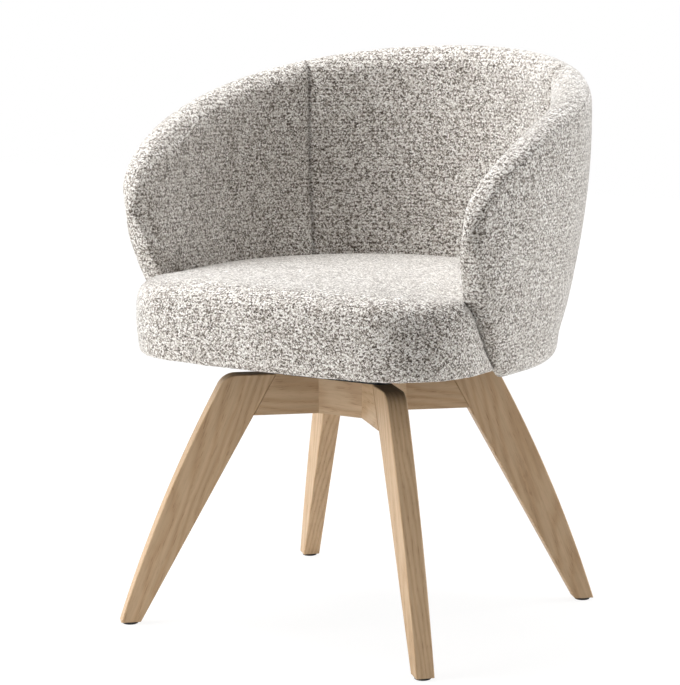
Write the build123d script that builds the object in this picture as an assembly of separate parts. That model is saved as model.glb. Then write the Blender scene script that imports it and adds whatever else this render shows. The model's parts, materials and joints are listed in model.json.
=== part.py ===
from build123d import *
import os
from math import cos, pi, radians, sin, sqrt

# Swivel armchair: an upholstered tub that turns on a ball-bearing plate over a four-legged oak base.
# Millimetres, +Z up, the front towards -Y, the floor at Z = 0.
# Everything is drawn about the swivel axis, and moved once at the end to the middle of the footprint.

# Oak base
BASE_TOP = 352.0  # floor to the top of the legs and beams
BEAM_HEIGHT = 58.0
LEG_ANGLE = 46.5  # between a leg and the front-to-back line, seen from above
FOOT_REACH = 345.0  # swivel axis to the outer edge of a foot
FOOT_WIDTH = 28.0  # along the leg's plane
LEG_REACH = 155.0  # swivel axis to a leg's inner edge, at the underside of the beams
LEG_TOP_WIDTH = 72.0
LEG_THICK = 28.4  # at the top, flush with the beams
FOOT_THICK = 25.2
LEG_BOW = 9.0  # how far a leg's outer edge bows outwards
LEG_SHOULDER = 28.0  # radius of the outer top corner
WOOD_EASE = 2.0  # radius on the wood's edges
BLOCK_REACH = 63.0  # along the beams to the corner blocks' faces
DOWEL_DIA = 8.0
DOWEL_LENGTH = 46.0
DOWEL_PITCH = 26.0  # between the two dowels of a leg
GLIDE_DIA = 22.0
GLIDE_HEIGHT = 4.0
GLIDE_ROUND = 1.2
GLIDE_STEM_DIA = 5.0
GLIDE_STEM = 16.0

# Swivel
SWIVEL_HEIGHT = 33.0  # top of the base to the underside of the seat board
SWIVEL_RANGE = 90.0  # each way from straight ahead
PLATE_SIDE = 190.0
PLATE_THICK = 3.0
PLATE_CORNER = 14.0
RACE_RADIUS = 53.0
RACE_WIDTH = 16.0
BALL_DIA = 12.0
BALL_COUNT = 16
RACE_DEPTH = 3.0  # how deep a ball sits in each race
CAGE_THICK = 3.0
STUD_DIA = 16.0
STUD_HEAD_DIA = 28.0
STUD_HEAD = 6.0
STUD_SPARE = 2.4  # stud above its nut
NUT_WIDTH = 24.0
NUT_HEIGHT = 10.0
WASHER_DIA = 34.0
WASHER_THICK = 1.5
STOP_RADIUS = 76.0
STOP_DIA = 8.0
STOP_COLLAR_DIA = 12.0
STOP_COLLAR = 3.0
STOP_PLAY = 0.5  # degrees between the pin and the end of its slot
LOWER_SCREW_RADIUS = 94.0
UPPER_SCREW_RADIUS = 112.0
UPPER_SCREW_ANGLE = 45.0
WOOD_SCREW_DIA = 5.0
WOOD_SCREW_LENGTH = 35.0
SCREW_TIP = 0.2  # radius at a wood screw's point
MACHINE_SCREW_DIA = 6.0
MACHINE_SCREW_HEAD_DIA = 11.0
MACHINE_SCREW_HEAD = 3.3
TNUT_BARREL_DIA = 8.0
TNUT_BARREL = 12.0
TNUT_FLANGE_DIA = 20.0
TNUT_FLANGE = 1.6

# Seat
BOARD_THICK = 18.0
SEAT_HALF_WIDTH = 264.0
SEAT_FRONT = 259.5  # swivel axis to the front of the cushion
SEAT_BOW = 8.0  # of the front edge
SEAT_CORNER = 118.0
SEAT_LIP = 2.0  # the cushion's lower edge below the board
SEAT_THICK = 110.0  # lower edge to the crown
SEAT_WRAP = 14.0  # padding round the edge of the board
SEAT_CROWN = 4.0  # rise of the top over half the width
SEAT_EDGE = 30.0  # radius round the top
SEAT_SWELL = 5.0  # how far the sides swell between top and bottom
FLANK = 40.0  # how far the board stays wide in front of the rounded back
DUST_COVER_THICK = 1.4
DUST_COVER_INSET = 12.0
BOARD_NUT_ROOM = 44.0

# Tub shell, drawn as a horseshoe path with a changing section
TUB_CENTRE = 9.5  # behind the swivel axis
TUB_HALF_WIDTH = 276.5  # outside, at seat level
TUB_FLARE = 40.5  # wider than that at the rim
TUB_SHORTEN = 8.5  # how much less deep than wide the rounded back is
FLARE_FROM = 403.0
FLARE_TO = 700.0
SHELL_DROP = 13.0  # shell's lower edge below the board
SHELL_THICK = 45.0  # in the arms
BACK_EXTRA = 9.0  # thicker than that behind the sitter
SHELL_UNDER_RADIUS = 25.0
SHELL_INNER_RADIUS = 10.0
FOOT_SHARE = 0.46  # most of the thickness that an under-edge's radius takes
NOSE_REACH = 176.0  # swivel axis to the foremost point of an arm
NOSE_HEIGHT = 571.0
NOSE_RADIUS = 20.0
NOSE_TAPER = 14.0  # how far the outer side of an arm's wall draws in towards its nose
NOSE_TURN = 8.0  # how far the whole wall turns in there
TAPER_RUN = 150.0  # along which both do so
RIM_RISE = 231.3  # nose to the top of the back
RIM_POWER = 0.434  # how quickly the rim climbs away from the nose
ARM_RUN = 120.0  # along which an arm's lower edge falls from the nose to the bottom
ARM_POWER = 0.85
ARM_TURN = 1.35  # how softly that edge turns level at the bottom
ROLL_HEIGHT = 16.0  # rolled rim above the seam with the outer pad
OUTER_PAD = 10.0
FRAME_THICK = 9.0
FRAME_START = 22.0  # the frame's front edge behind the nose
FRAME_EDGE = 3.0  # the frame's upper and lower edges from the padding that rolls round them
BACK_STATIONS = 12  # cuts round the back that the shell is drawn through
FLANK_ARCS = 4  # arcs in each flank of a cut
STRAIGHT = 0.01  # bend of an arc that is drawn as a line
NOSE_CLEAR = 1.6  # the second cut's run over the first's, at least
SEAM_ANGLE = 40.36  # upright seams, from the tub's cross line
SEAM_WIDTH = 3.0
SEAM_DEPTH = 2.5
FRAME_SCREW_ANGLES = (12.0, 45.0, 75.0, 105.0, 135.0, 168.0)
FRAME_SCREW_DIA = 4.0
FRAME_SCREW_LENGTH = 38.0

# Clearances
FIT = 0.05  # on the radius, pins and shanks in their holes
RUN = 0.1  # between turning faces
SOFT = 0.4  # between padding and its neighbours
BOARD_PLAY = 0.7  # between the board's edge and the curved frame
FRAME_PLAY = 0.8  # between the curved frame's inner face and what lies inside it
STUD_PLAY = 0.5  # round the pivot stud's head
HOLE_SPARE = 0.5  # blind holes beyond the ends of what they hold

# Levels and sizes that follow
BEAM_BOTTOM = BASE_TOP - BEAM_HEIGHT
LEG_LEAN = (FOOT_REACH - FOOT_WIDTH - LEG_REACH) / (BEAM_BOTTOM - GLIDE_HEIGHT)
LEG_BEARINGS = {
    "front_right": LEG_ANGLE - 90,
    "rear_right": 90 - LEG_ANGLE,
    "rear_left": 90 + LEG_ANGLE,
    "front_left": -90 - LEG_ANGLE,
}
BLOCK_BEARINGS = {"front": -90.0, "right": 0.0, "rear": 90.0, "left": 180.0}
LOWER_PLATE_TOP = BASE_TOP + PLATE_THICK
BOARD_BOTTOM = BASE_TOP + SWIVEL_HEIGHT
BOARD_TOP = BOARD_BOTTOM + BOARD_THICK
UPPER_PLATE_BOTTOM = BOARD_BOTTOM - PLATE_THICK
RACE_LEVEL = (LOWER_PLATE_TOP + UPPER_PLATE_BOTTOM) / 2
NUT_BOTTOM = BOARD_BOTTOM + WASHER_THICK + RUN
SEAT_BOTTOM = BOARD_BOTTOM - SEAT_LIP
SHELL_BOTTOM = BOARD_BOTTOM - SHELL_DROP
ARM_LENGTH = NOSE_REACH + TUB_CENTRE
FRAME_OUT = OUTER_PAD + SOFT
FRAME_IN = FRAME_OUT + FRAME_THICK + FRAME_PLAY

UP = (Align.CENTER, Align.CENTER, Align.MIN)
DOWN = (Align.CENTER, Align.CENTER, Align.MAX)


def turned(shape, bearing):
    """A shape drawn along +X, turned about the swivel axis."""
    return Rot(0, 0, bearing) * shape


def disc(dia, height, z, x=0.0):
    """An upright cylinder that stands on the level z."""
    return Pos(x, 0, z) * Cylinder(dia / 2, height, align=UP)


def rod(dia, x0, x1, z):
    """A cylinder along +X from x0 to x1."""
    return Pos(x0, 0, z) * Rot(0, 90, 0) * Cylinder(dia / 2, x1 - x0, align=UP)


# Oak base


def leg_inner(z):
    """Distance from the axis to a leg's straight inner edge, at a height."""
    return LEG_REACH + (BEAM_BOTTOM - z) * LEG_LEAN


def dowel_levels():
    """Heights of the two dowels of each leg."""
    middle = BEAM_BOTTOM + BEAM_HEIGHT / 2
    return middle - DOWEL_PITCH / 2, middle + DOWEL_PITCH / 2


def leg_dowels(spare=0.0, fit=0.0):
    """The two dowels of one leg, or their holes."""
    half = DOWEL_LENGTH / 2 + spare
    return [rod(DOWEL_DIA + 2 * fit, leg_inner(z) - half, leg_inner(z) + half, z) for z in dowel_levels()]


def leg():
    """One flat leg: straight inside, bowed outside, thinner at the foot."""
    inner_top = (leg_inner(BASE_TOP), BASE_TOP)
    inner_foot = (leg_inner(GLIDE_HEIGHT), GLIDE_HEIGHT)
    outer_foot = (FOOT_REACH, GLIDE_HEIGHT)
    outer_top = (inner_top[0] + LEG_TOP_WIDTH, BASE_TOP)
    outline = make_face(
        [
            Line(inner_top, inner_foot),
            Line(inner_foot, outer_foot),
            SagittaArc(outer_foot, outer_top, -LEG_BOW),
            Line(outer_top, inner_top),
        ]
    )
    shoulder = outline.vertices().sort_by(Axis.Y)[-2:].sort_by(Axis.X)[-1]
    blank = extrude(Plane.XZ * fillet(shoulder, LEG_SHOULDER), LEG_THICK, both=True)
    taper = Polygon(
        (-FOOT_THICK / 2, GLIDE_HEIGHT),
        (FOOT_THICK / 2, GLIDE_HEIGHT),
        (LEG_THICK / 2, BASE_TOP),
        (-LEG_THICK / 2, BASE_TOP),
        align=None,
    )
    body = blank & extrude(Plane.YZ * taper, 2 * FOOT_REACH)
    long_edges = [e for e in body.edges() if e.length > BEAM_HEIGHT]
    body = fillet(long_edges, WOOD_EASE)
    stem = disc(GLIDE_STEM_DIA + 2 * FIT, GLIDE_STEM + HOLE_SPARE, GLIDE_HEIGHT, FOOT_REACH - FOOT_WIDTH / 2)
    return body - leg_dowels(HOLE_SPARE, FIT) - stem


def glide():
    """One foot glide with the stem that is knocked into the leg."""
    x = FOOT_REACH - FOOT_WIDTH / 2
    pad = disc(GLIDE_DIA, GLIDE_HEIGHT, 0, x)
    pad = fillet(pad.edges().sort_by(Axis.Z)[0], GLIDE_ROUND)
    return pad + disc(GLIDE_STEM_DIA, GLIDE_STEM, GLIDE_HEIGHT, x)


def beam_blank():
    """A whole beam along X, its ends cut to the slope of the legs."""
    low, high = leg_inner(BEAM_BOTTOM), leg_inner(BASE_TOP)
    side = Polygon((-low, BEAM_BOTTOM), (low, BEAM_BOTTOM), (high, BASE_TOP), (-high, BASE_TOP), align=None)
    return extrude(Plane.XZ * side, LEG_THICK / 2, both=True)


def stud_pocket():
    """Room for the pivot stud's head in the top of the crossing."""
    deep = STUD_HEAD + HOLE_SPARE
    return disc(STUD_HEAD_DIA + 2 * STUD_PLAY, deep, BASE_TOP - deep)


def lower_screw_holes():
    """Wood screw holes through the lower plate into the beams."""
    deep = WOOD_SCREW_LENGTH + HOLE_SPARE
    hole = disc(WOOD_SCREW_DIA + 2 * FIT, deep, LOWER_PLATE_TOP - deep)
    return [turned(Pos(LOWER_SCREW_RADIUS, 0, 0) * hole, bearing) for bearing in LEG_BEARINGS.values()]


def beam(bearing, lap_from):
    """One beam, half-lapped over the other from the level lap_from."""
    lap = Pos(0, 0, lap_from) * Box(4 * LEG_THICK, LEG_THICK, BEAM_HEIGHT / 2, align=UP)
    body = turned(beam_blank() - leg_dowels(HOLE_SPARE, FIT), bearing)
    body -= [turned(hole, bearing + 180) for hole in leg_dowels(HOLE_SPARE, FIT)]
    return body - turned(lap, -bearing) - stud_pocket() - lower_screw_holes()


def corner_block(bearing):
    """A wedge glued into one corner of the crossing."""
    spread = LEG_ANGLE if abs(sin(radians(bearing))) > 0.5 else 90 - LEG_ANGLE
    near = Vector(BLOCK_REACH, LEG_THICK / 2).rotate(Axis.Z, -spread)
    far = Vector(near.X, -near.Y)
    wedge = extrude(Polygon((0, 0), (near.X, near.Y), (far.X, far.Y), align=None), BEAM_HEIGHT)
    body = Pos(0, 0, BEAM_BOTTOM) * wedge
    beam_room = Pos(0, 0, BEAM_BOTTOM) * Box(4 * BLOCK_REACH, LEG_THICK, BEAM_HEIGHT, align=UP)
    body -= [turned(beam_room, spread), turned(beam_room, -spread)]
    return turned(body, bearing) - stud_pocket()


# Swivel


def plate(bottom):
    """A square plate with rounded corners and the stud's bore."""
    blank = Pos(0, 0, bottom) * Box(PLATE_SIDE, PLATE_SIDE, PLATE_THICK, align=UP)
    blank = fillet(blank.edges().filter_by(Axis.Z), PLATE_CORNER)
    return blank - disc(STUD_DIA + 2 * FIT, PLATE_THICK, bottom)


def race(z0, z1):
    """A raised ring between two levels with a ball groove in it."""
    outer = disc(2 * RACE_RADIUS + RACE_WIDTH, z1 - z0, z0)
    inner = disc(2 * RACE_RADIUS - RACE_WIDTH, z1 - z0, z0)
    return outer - inner - Pos(0, 0, RACE_LEVEL) * Torus(RACE_RADIUS, BALL_DIA / 2 + FIT)


def wood_screw(dia, length):
    """A countersunk screw, its head's face at Z = 0 and its point down."""
    head = Cone(dia / 2, dia, dia / 2, align=DOWN)
    shank = Cylinder(dia / 2, length - 2 * dia, align=DOWN)
    point = Pos(0, 0, 2 * dia - length) * Cone(SCREW_TIP, dia / 2, 2 * dia, align=DOWN)
    return head + shank + point


def countersink(dia):
    """The seat that a countersunk head lies in."""
    return Cone(dia / 2 + FIT, dia + FIT, dia / 2 + FIT, align=DOWN)


def swivel_lower_plate():
    """Fixed plate: lower race, stop slot and countersunk holes over the beams."""
    end = SWIVEL_RANGE + STOP_PLAY
    track = CenterArc((0, 0), STOP_RADIUS, 90 - end, 2 * end)
    slot = Pos(0, 0, BASE_TOP) * extrude(SlotArc(track, STOP_DIA + 2 * RUN), PLATE_THICK)
    body = plate(BASE_TOP) + race(LOWER_PLATE_TOP, RACE_LEVEL - BALL_DIA / 2 + RACE_DEPTH)
    body -= [slot] + lower_screw_holes()
    seat = Pos(LOWER_SCREW_RADIUS, 0, LOWER_PLATE_TOP) * countersink(WOOD_SCREW_DIA)
    return body - [turned(seat, bearing) for bearing in LEG_BEARINGS.values()]


def swivel_upper_plate():
    """Turning plate: upper race, stop pin hole and screw holes to the seat board."""
    body = plate(UPPER_PLATE_BOTTOM) + race(RACE_LEVEL + BALL_DIA / 2 - RACE_DEPTH, UPPER_PLATE_BOTTOM)
    holes = [disc(MACHINE_SCREW_DIA + 2 * FIT, PLATE_THICK, UPPER_PLATE_BOTTOM, UPPER_SCREW_RADIUS)]
    body -= [turned(hole, bearing) for hole in holes for bearing in upper_bearings()]
    return body - turned(disc(STOP_DIA + 2 * FIT, PLATE_THICK, UPPER_PLATE_BOTTOM, STOP_RADIUS), 90)


def upper_bearings():
    """Directions of the four screws between the upper plate and the seat board."""
    return [UPPER_SCREW_ANGLE, 180 - UPPER_SCREW_ANGLE, 180 + UPPER_SCREW_ANGLE, -UPPER_SCREW_ANGLE]


def stop_pin():
    """Pin riveted into the upper plate, which runs in the lower plate's slot."""
    low = BASE_TOP + SOFT
    pin = disc(STOP_DIA, BOARD_BOTTOM - low, low, STOP_RADIUS)
    collar = disc(STOP_COLLAR_DIA, STOP_COLLAR, UPPER_PLATE_BOTTOM - STOP_COLLAR, STOP_RADIUS)
    return turned(pin + collar, 90)


def ball_bearings():
    """Directions of the balls round the race."""
    return [360.0 / BALL_COUNT * k for k in range(BALL_COUNT)]


def bearing_balls():
    """The ring of balls."""
    ball = Pos(RACE_RADIUS, 0, RACE_LEVEL) * Sphere(BALL_DIA / 2)
    return [turned(ball, bearing) for bearing in ball_bearings()]


def ball_cage():
    """Flat ring with a pocket for each ball."""
    low = RACE_LEVEL - CAGE_THICK / 2
    ring = disc(2 * RACE_RADIUS + RACE_WIDTH, CAGE_THICK, low)
    ring -= disc(2 * RACE_RADIUS - RACE_WIDTH, CAGE_THICK, low)
    pocket = disc(BALL_DIA + 2 * RUN, CAGE_THICK, low, RACE_RADIUS)
    return ring - [turned(pocket, bearing) for bearing in ball_bearings()]


def pivot_stud():
    """Stud that holds the two plates together, its head let into the crossing."""
    head = disc(STUD_HEAD_DIA, STUD_HEAD, BASE_TOP - STUD_HEAD)
    return head + disc(STUD_DIA, NUT_BOTTOM + NUT_HEIGHT + STUD_SPARE - BASE_TOP, BASE_TOP)


def lock_nut():
    """Nut on top of the stud."""
    blank = Pos(0, 0, NUT_BOTTOM) * extrude(RegularPolygon(NUT_WIDTH / 2, 6, major_radius=False), NUT_HEIGHT)
    return blank - disc(STUD_DIA + 2 * FIT, NUT_HEIGHT, NUT_BOTTOM)


def pivot_washer():
    """Nylon washer between the nut and the turning plate."""
    ring = disc(WASHER_DIA, WASHER_THICK, BOARD_BOTTOM)
    return ring - disc(STUD_DIA + 2 * FIT, WASHER_THICK, BOARD_BOTTOM)


def lower_swivel_screws():
    """Wood screws through the lower plate into the beams."""
    screw = Pos(LOWER_SCREW_RADIUS, 0, LOWER_PLATE_TOP) * wood_screw(WOOD_SCREW_DIA, WOOD_SCREW_LENGTH)
    return [turned(screw, bearing) for bearing in LEG_BEARINGS.values()]


def upper_swivel_screws():
    """Machine screws up through the upper plate into the T-nuts."""
    under = UPPER_PLATE_BOTTOM - MACHINE_SCREW_HEAD
    length = PLATE_THICK + BOARD_THICK - HOLE_SPARE
    head = disc(MACHINE_SCREW_HEAD_DIA, MACHINE_SCREW_HEAD, under, UPPER_SCREW_RADIUS)
    shank = disc(MACHINE_SCREW_DIA, length, UPPER_PLATE_BOTTOM, UPPER_SCREW_RADIUS)
    return [turned(head + shank, bearing) for bearing in upper_bearings()]


def tnut(fit=0.0):
    """A T-nut pressed into the seat board from above, or its hole."""
    deep = TNUT_FLANGE + fit
    flange = disc(TNUT_FLANGE_DIA + 2 * fit, deep, BOARD_TOP - deep, UPPER_SCREW_RADIUS)
    barrel = disc(TNUT_BARREL_DIA + 2 * fit, TNUT_BARREL, BOARD_TOP - TNUT_BARREL, UPPER_SCREW_RADIUS)
    return flange + barrel


def t_nuts():
    """The four T-nuts with their threaded bores."""
    bore = disc(MACHINE_SCREW_DIA + 2 * FIT, BOARD_THICK, BOARD_BOTTOM, UPPER_SCREW_RADIUS)
    return [turned(tnut() - bore, bearing) for bearing in upper_bearings()]


# Tub shell


def smooth_step(t):
    """Eases from 0 to 1."""
    t = min(max(t, 0.0), 1.0)
    return t * t * (3 - 2 * t)


def tub_half_width(z):
    """Outside half width of the tub at a height."""
    share = min(max((z - FLARE_FROM) / (FLARE_TO - FLARE_FROM), 0.0), 1.0)
    return TUB_HALF_WIDTH + TUB_FLARE * sin(pi / 2 * share)


class Station:
    """One upright cut through the shell: its plane, its height range and its thickness."""

    def __init__(self, bearing, run, grow=0.0):
        across = radians(bearing)
        y = TUB_CENTRE - TUB_SHORTEN * sin(across)
        if run < ARM_LENGTH:
            y = run - NOSE_REACH
        outwards, along = (cos(across), sin(across), 0), (sin(across), -cos(across), 0)
        self.plane = Plane((0, y, 0), x_dir=outwards, z_dir=along)
        back = TUB_HALF_WIDTH + TUB_FLARE
        reach = run + (back - TUB_SHORTEN) * sin(across)
        full = ARM_LENGTH + back - TUB_SHORTEN
        self.top = NOSE_HEIGHT + RIM_RISE * (reach / full) ** RIM_POWER + grow
        fall = 1 - (1 - min(reach / ARM_RUN, 1.0) ** ARM_POWER) ** ARM_TURN
        self.bottom = NOSE_HEIGHT - (NOSE_HEIGHT - SHELL_BOTTOM) * fall - grow
        self.run = run
        roundness = sqrt(1 - max(0.0, 1 - run / NOSE_RADIUS) ** 2)
        near_nose = max(0.0, 1 - run / TAPER_RUN) ** 2
        taper = NOSE_TAPER * near_nose
        full = SHELL_THICK + BACK_EXTRA * sin(across) - taper
        self.inset = taper + NOSE_TURN * near_nose + full * (1 - roundness) / 2
        self.thick = full * roundness + 2 * grow
        self.grow = grow

    def side(self, depth, z0, z1):
        """The shell's flank at a depth under its outside, as a row of arcs between two heights."""
        levels = [z0 + (z1 - z0) * k / (2 * FLANK_ARCS) for k in range(2 * FLANK_ARCS + 1)]
        points = [(tub_half_width(z) + self.grow - self.inset - depth, z) for z in levels]
        return [arc_or_line(*points[2 * k : 2 * k + 3]) for k in range(FLANK_ARCS)]

    def face(self, edges):
        """A face in the cut's plane."""
        return self.plane * make_face(edges)

    def whole(self):
        """The shell's full section: round rim, flanks, round under-edges."""
        rim = self.thick / 2
        under = min(SHELL_UNDER_RADIUS, FOOT_SHARE * self.thick)
        heel = min(SHELL_INNER_RADIUS, FOOT_SHARE * self.thick)
        out = self.side(0, self.bottom + under, self.top - rim)
        into = self.side(self.thick, self.top - rim, self.bottom + heel)
        crest = ((out[-1] @ 1) + (into[0] @ 0)) / 2 + Vector(0, rim)
        over = [quarter(out[-1] @ 1, crest), quarter(crest, into[0] @ 0, False)]
        inner_foot = (into[-1] @ 1) + Vector(heel, -heel)
        outer_foot = (out[0] @ 0) + Vector(-under, -under)
        foot = [
            quarter(into[-1] @ 1, inner_foot),
            Line(inner_foot, outer_foot),
            quarter(outer_foot, out[0] @ 0, False),
        ]
        return self.face(out + over + into + foot)

    def layer(self, depth0, depth1, z0, z1):
        """A band of the shell between two depths and two heights."""
        out = self.side(depth0, z0, z1)
        into = self.side(depth1, z1, z0)
        return self.face(out + [Line(out[-1] @ 1, into[0] @ 0)] + into + [Line(into[-1] @ 1, out[0] @ 0)])


def arc_or_line(a, b, c):
    """An arc through three points, or a line where they are as good as in line."""
    chord, leg_over = Vector(*c) - Vector(*a), Vector(*b) - Vector(*a)
    bend = chord.cross(leg_over).length / chord.length
    return ThreePointArc(a, b, c) if bend > STRAIGHT else Line(a, c)


def quarter(a, b, rising=True):
    """A quarter circle from a to b that leaves a upright, or arrives at b upright."""
    corner = Vector(a.X, b.Y) if rising else Vector(b.X, a.Y)
    centre = a + b - corner
    middle = centre + (corner - centre) * sqrt(0.5)
    return ThreePointArc(a, middle, b)


def path(first_run, grow=0.0):
    """Stations from the right arm's nose round the back to the left arm's, closer together near the noses."""
    runs = [ARM_LENGTH * (k / 6) ** 2 for k in range(1, 6)]
    runs = [first_run] + [run for run in runs if run > NOSE_CLEAR * first_run]
    right = [Station(0.0, run, grow) for run in runs]
    round_back = [Station(180.0 / BACK_STATIONS * k, ARM_LENGTH, grow) for k in range(BACK_STATIONS + 1)]
    left = [Station(180.0, run, grow) for run in reversed(runs)]
    return right + round_back + left


def shell(grow=0.0):
    """The whole upholstered shell, or the room that it takes up."""
    return loft([station.whole() for station in path(1.0, grow)])


def lower_seam(station):
    """Level where the rolled edge ends: above an arm's lower edge in front, out of reach further back."""
    ease = smooth_step(2 * station.run / ARM_LENGTH - 1)
    return station.bottom + ROLL_HEIGHT - ease * (ROLL_HEIGHT + SHELL_UNDER_RADIUS)


def ahead_of(run):
    """Everything in front of a cut across both arms."""
    wide = 4 * TUB_HALF_WIDTH
    return Pos(0, run - NOSE_REACH, 0) * Box(wide, wide, wide, align=(Align.CENTER, Align.MAX, Align.MIN))


def back_frame():
    """Moulded plywood sheet inside the shell, behind the rolled edge."""
    faces = []
    for station in path(ROLL_HEIGHT / 2):
        low = max(BOARD_BOTTOM, lower_seam(station) + FRAME_EDGE)
        high = station.top - ROLL_HEIGHT - FRAME_EDGE
        faces.append(station.layer(FRAME_OUT, FRAME_OUT + FRAME_THICK, low, high))
    return loft(faces) - ahead_of(FRAME_START) - frame_screw_holes()


def frame_room():
    """The space that the outer pad leaves for the frame, open towards the rolled edge."""
    faces = []
    for station in path(ROLL_HEIGHT / 2):
        low = max(BOARD_BOTTOM - FRAME_EDGE, station.bottom + ROLL_HEIGHT / 2)
        faces.append(station.layer(OUTER_PAD, FRAME_IN + SHELL_THICK, low, station.top - ROLL_HEIGHT / 2))
    return loft(faces)


def outer_room(grow=0.0):
    """Everything outside the frame's inner face and within the rolled edge's seam."""
    outside = -2 * SHELL_UNDER_RADIUS
    faces = []
    for station in path(ROLL_HEIGHT / 2):
        high = station.top - ROLL_HEIGHT + grow
        faces.append(station.layer(outside, FRAME_IN + grow, lower_seam(station) - grow, high))
    return loft(faces) - ahead_of(ROLL_HEIGHT - grow)


def frame_screw_holes():
    """Screws through the frame into the board's edge, drawn as their holes."""
    hole = Cylinder(FRAME_SCREW_DIA / 2 + FIT, FRAME_SCREW_LENGTH + HOLE_SPARE, align=DOWN)
    return at_frame_screws(hole + countersink(FRAME_SCREW_DIA))


def at_frame_screws(shape):
    """Copies of a shape, pointing inwards from the frame's outside at board level."""
    level = (BOARD_BOTTOM + BOARD_TOP) / 2
    copies = []
    for bearing in FRAME_SCREW_ANGLES:
        cut = Station(bearing, ARM_LENGTH).plane
        head = Plane(cut.from_local_coords(Vector(tub_half_width(level) - FRAME_OUT, level)), z_dir=cut.x_dir)
        copies.append(head * shape)
    return copies


def seam_grooves():
    """The two upright seams sewn into the inside of the back."""
    grooves = []
    for bearing in (SEAM_ANGLE, 180 - SEAM_ANGLE):
        cut = Station(bearing, ARM_LENGTH)
        rim = cut.top - cut.thick / 2
        face = cut.layer(cut.thick - SEAM_DEPTH, cut.thick + SEAM_DEPTH, BOARD_TOP, rim)
        grooves.append(extrude(face, SEAM_WIDTH / 2, both=True))
    return grooves


# Seat


def seat_outline(inset):
    """The seat seen from above: bowed front, round corners, round back."""
    half = SEAT_HALF_WIDTH - inset
    corner = SEAT_CORNER - min(inset, SEAT_CORNER / 2)
    shoulder = SEAT_BOW - SEAT_FRONT + inset
    front = [(corner - half, shoulder), (0, inset - SEAT_FRONT), (half - corner, shoulder)]
    back = TUB_CENTRE + half
    bulge = half * sqrt(0.5)
    edges = [
        ThreePointArc(*front),
        RadiusArc(front[2], (half, shoulder + corner), -corner),
        Line((half, shoulder + corner), (half, TUB_CENTRE)),
        ThreePointArc((half, TUB_CENTRE), (bulge, TUB_CENTRE + bulge), (0, back)),
        ThreePointArc((0, back), (-bulge, TUB_CENTRE + bulge), (-half, TUB_CENTRE)),
        Line((-half, TUB_CENTRE), (-half, shoulder + corner)),
        RadiusArc((-half, shoulder + corner), front[0], -corner),
    ]
    return make_face(edges)


def board_outline(grow=0.0):
    """The seat board: inside the padding at the front, out to the frame at the back."""
    front = seat_outline(SEAT_WRAP - grow)
    half = tub_half_width(BOARD_BOTTOM) - FRAME_IN - BOARD_PLAY + grow
    deep = half - TUB_SHORTEN
    rear = Pos(0, TUB_CENTRE) * (Ellipse(half, deep) & Pos(0, deep) * Rectangle(2 * half, 2 * deep))
    flank = Pos(0, TUB_CENTRE) * Rectangle(2 * half, FLANK + grow, align=(Align.CENTER, Align.MAX))
    sides = rear + flank
    fore = front & Pos(0, TUB_CENTRE) * Rectangle(4 * half, 4 * half, align=(Align.CENTER, Align.MAX))
    return fore + sides


def seat_board():
    """Plywood board that carries the seat, the frame and the swivel."""
    body = extrude(Pos(0, 0, BOARD_BOTTOM) * board_outline(), BOARD_THICK)
    body -= disc(BOARD_NUT_ROOM, BOARD_THICK, BOARD_BOTTOM)
    clear = disc(MACHINE_SCREW_DIA + 2 * FIT, BOARD_THICK, BOARD_BOTTOM, UPPER_SCREW_RADIUS)
    body -= [turned(tnut(FIT) + clear, bearing) for bearing in upper_bearings()]
    return body - frame_screw_holes()


def seat_cushion():
    """Crowned cushion that wraps the board's front and sides and fills the tub's floor."""
    levels = [(0.0, SEAT_SWELL), (SEAT_THICK / 2, 0.0), (SEAT_THICK, SEAT_SWELL)]
    sides = loft([Pos(0, 0, SEAT_BOTTOM + rise) * seat_outline(inset) for rise, inset in levels])
    ball = (SEAT_HALF_WIDTH**2 + SEAT_CROWN**2) / (2 * SEAT_CROWN)
    block = sides & Pos(0, 0, SEAT_BOTTOM + SEAT_THICK - ball) * Sphere(ball)
    crown = fillet(block.faces().sort_by(Axis.Z)[-1].edges(), SEAT_EDGE)
    below = BOARD_BOTTOM - 2 * SEAT_LIP
    room = extrude(Pos(0, 0, below) * board_outline(SOFT), BOARD_TOP + SOFT - below)
    return crown - shell(SOFT) - room


def dust_cover():
    """Thin black cloth under the board, open round the swivel."""
    level = BOARD_BOTTOM - DUST_COVER_THICK
    sheet = extrude(Pos(0, 0, level) * board_outline(-DUST_COVER_INSET), DUST_COVER_THICK)
    opening = PLATE_SIDE + 2 * DUST_COVER_THICK
    return sheet - Pos(0, 0, level) * Box(opening, opening, DUST_COVER_THICK, align=UP)


def tub_nodes():
    """The frame and the two pads, cut from the one shell."""
    whole = shell()
    wide = 4 * TUB_HALF_WIDTH
    under_board = Pos(0, 0, BOARD_TOP + SOFT) * Box(wide, wide, BOARD_TOP, align=DOWN)
    return {
        "back_frame": back_frame(),
        "inner_back_pad": whole - outer_room(SOFT) - seam_grooves() - under_board,
        "outer_back_pad": (whole & outer_room()) - frame_room(),
    }


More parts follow.
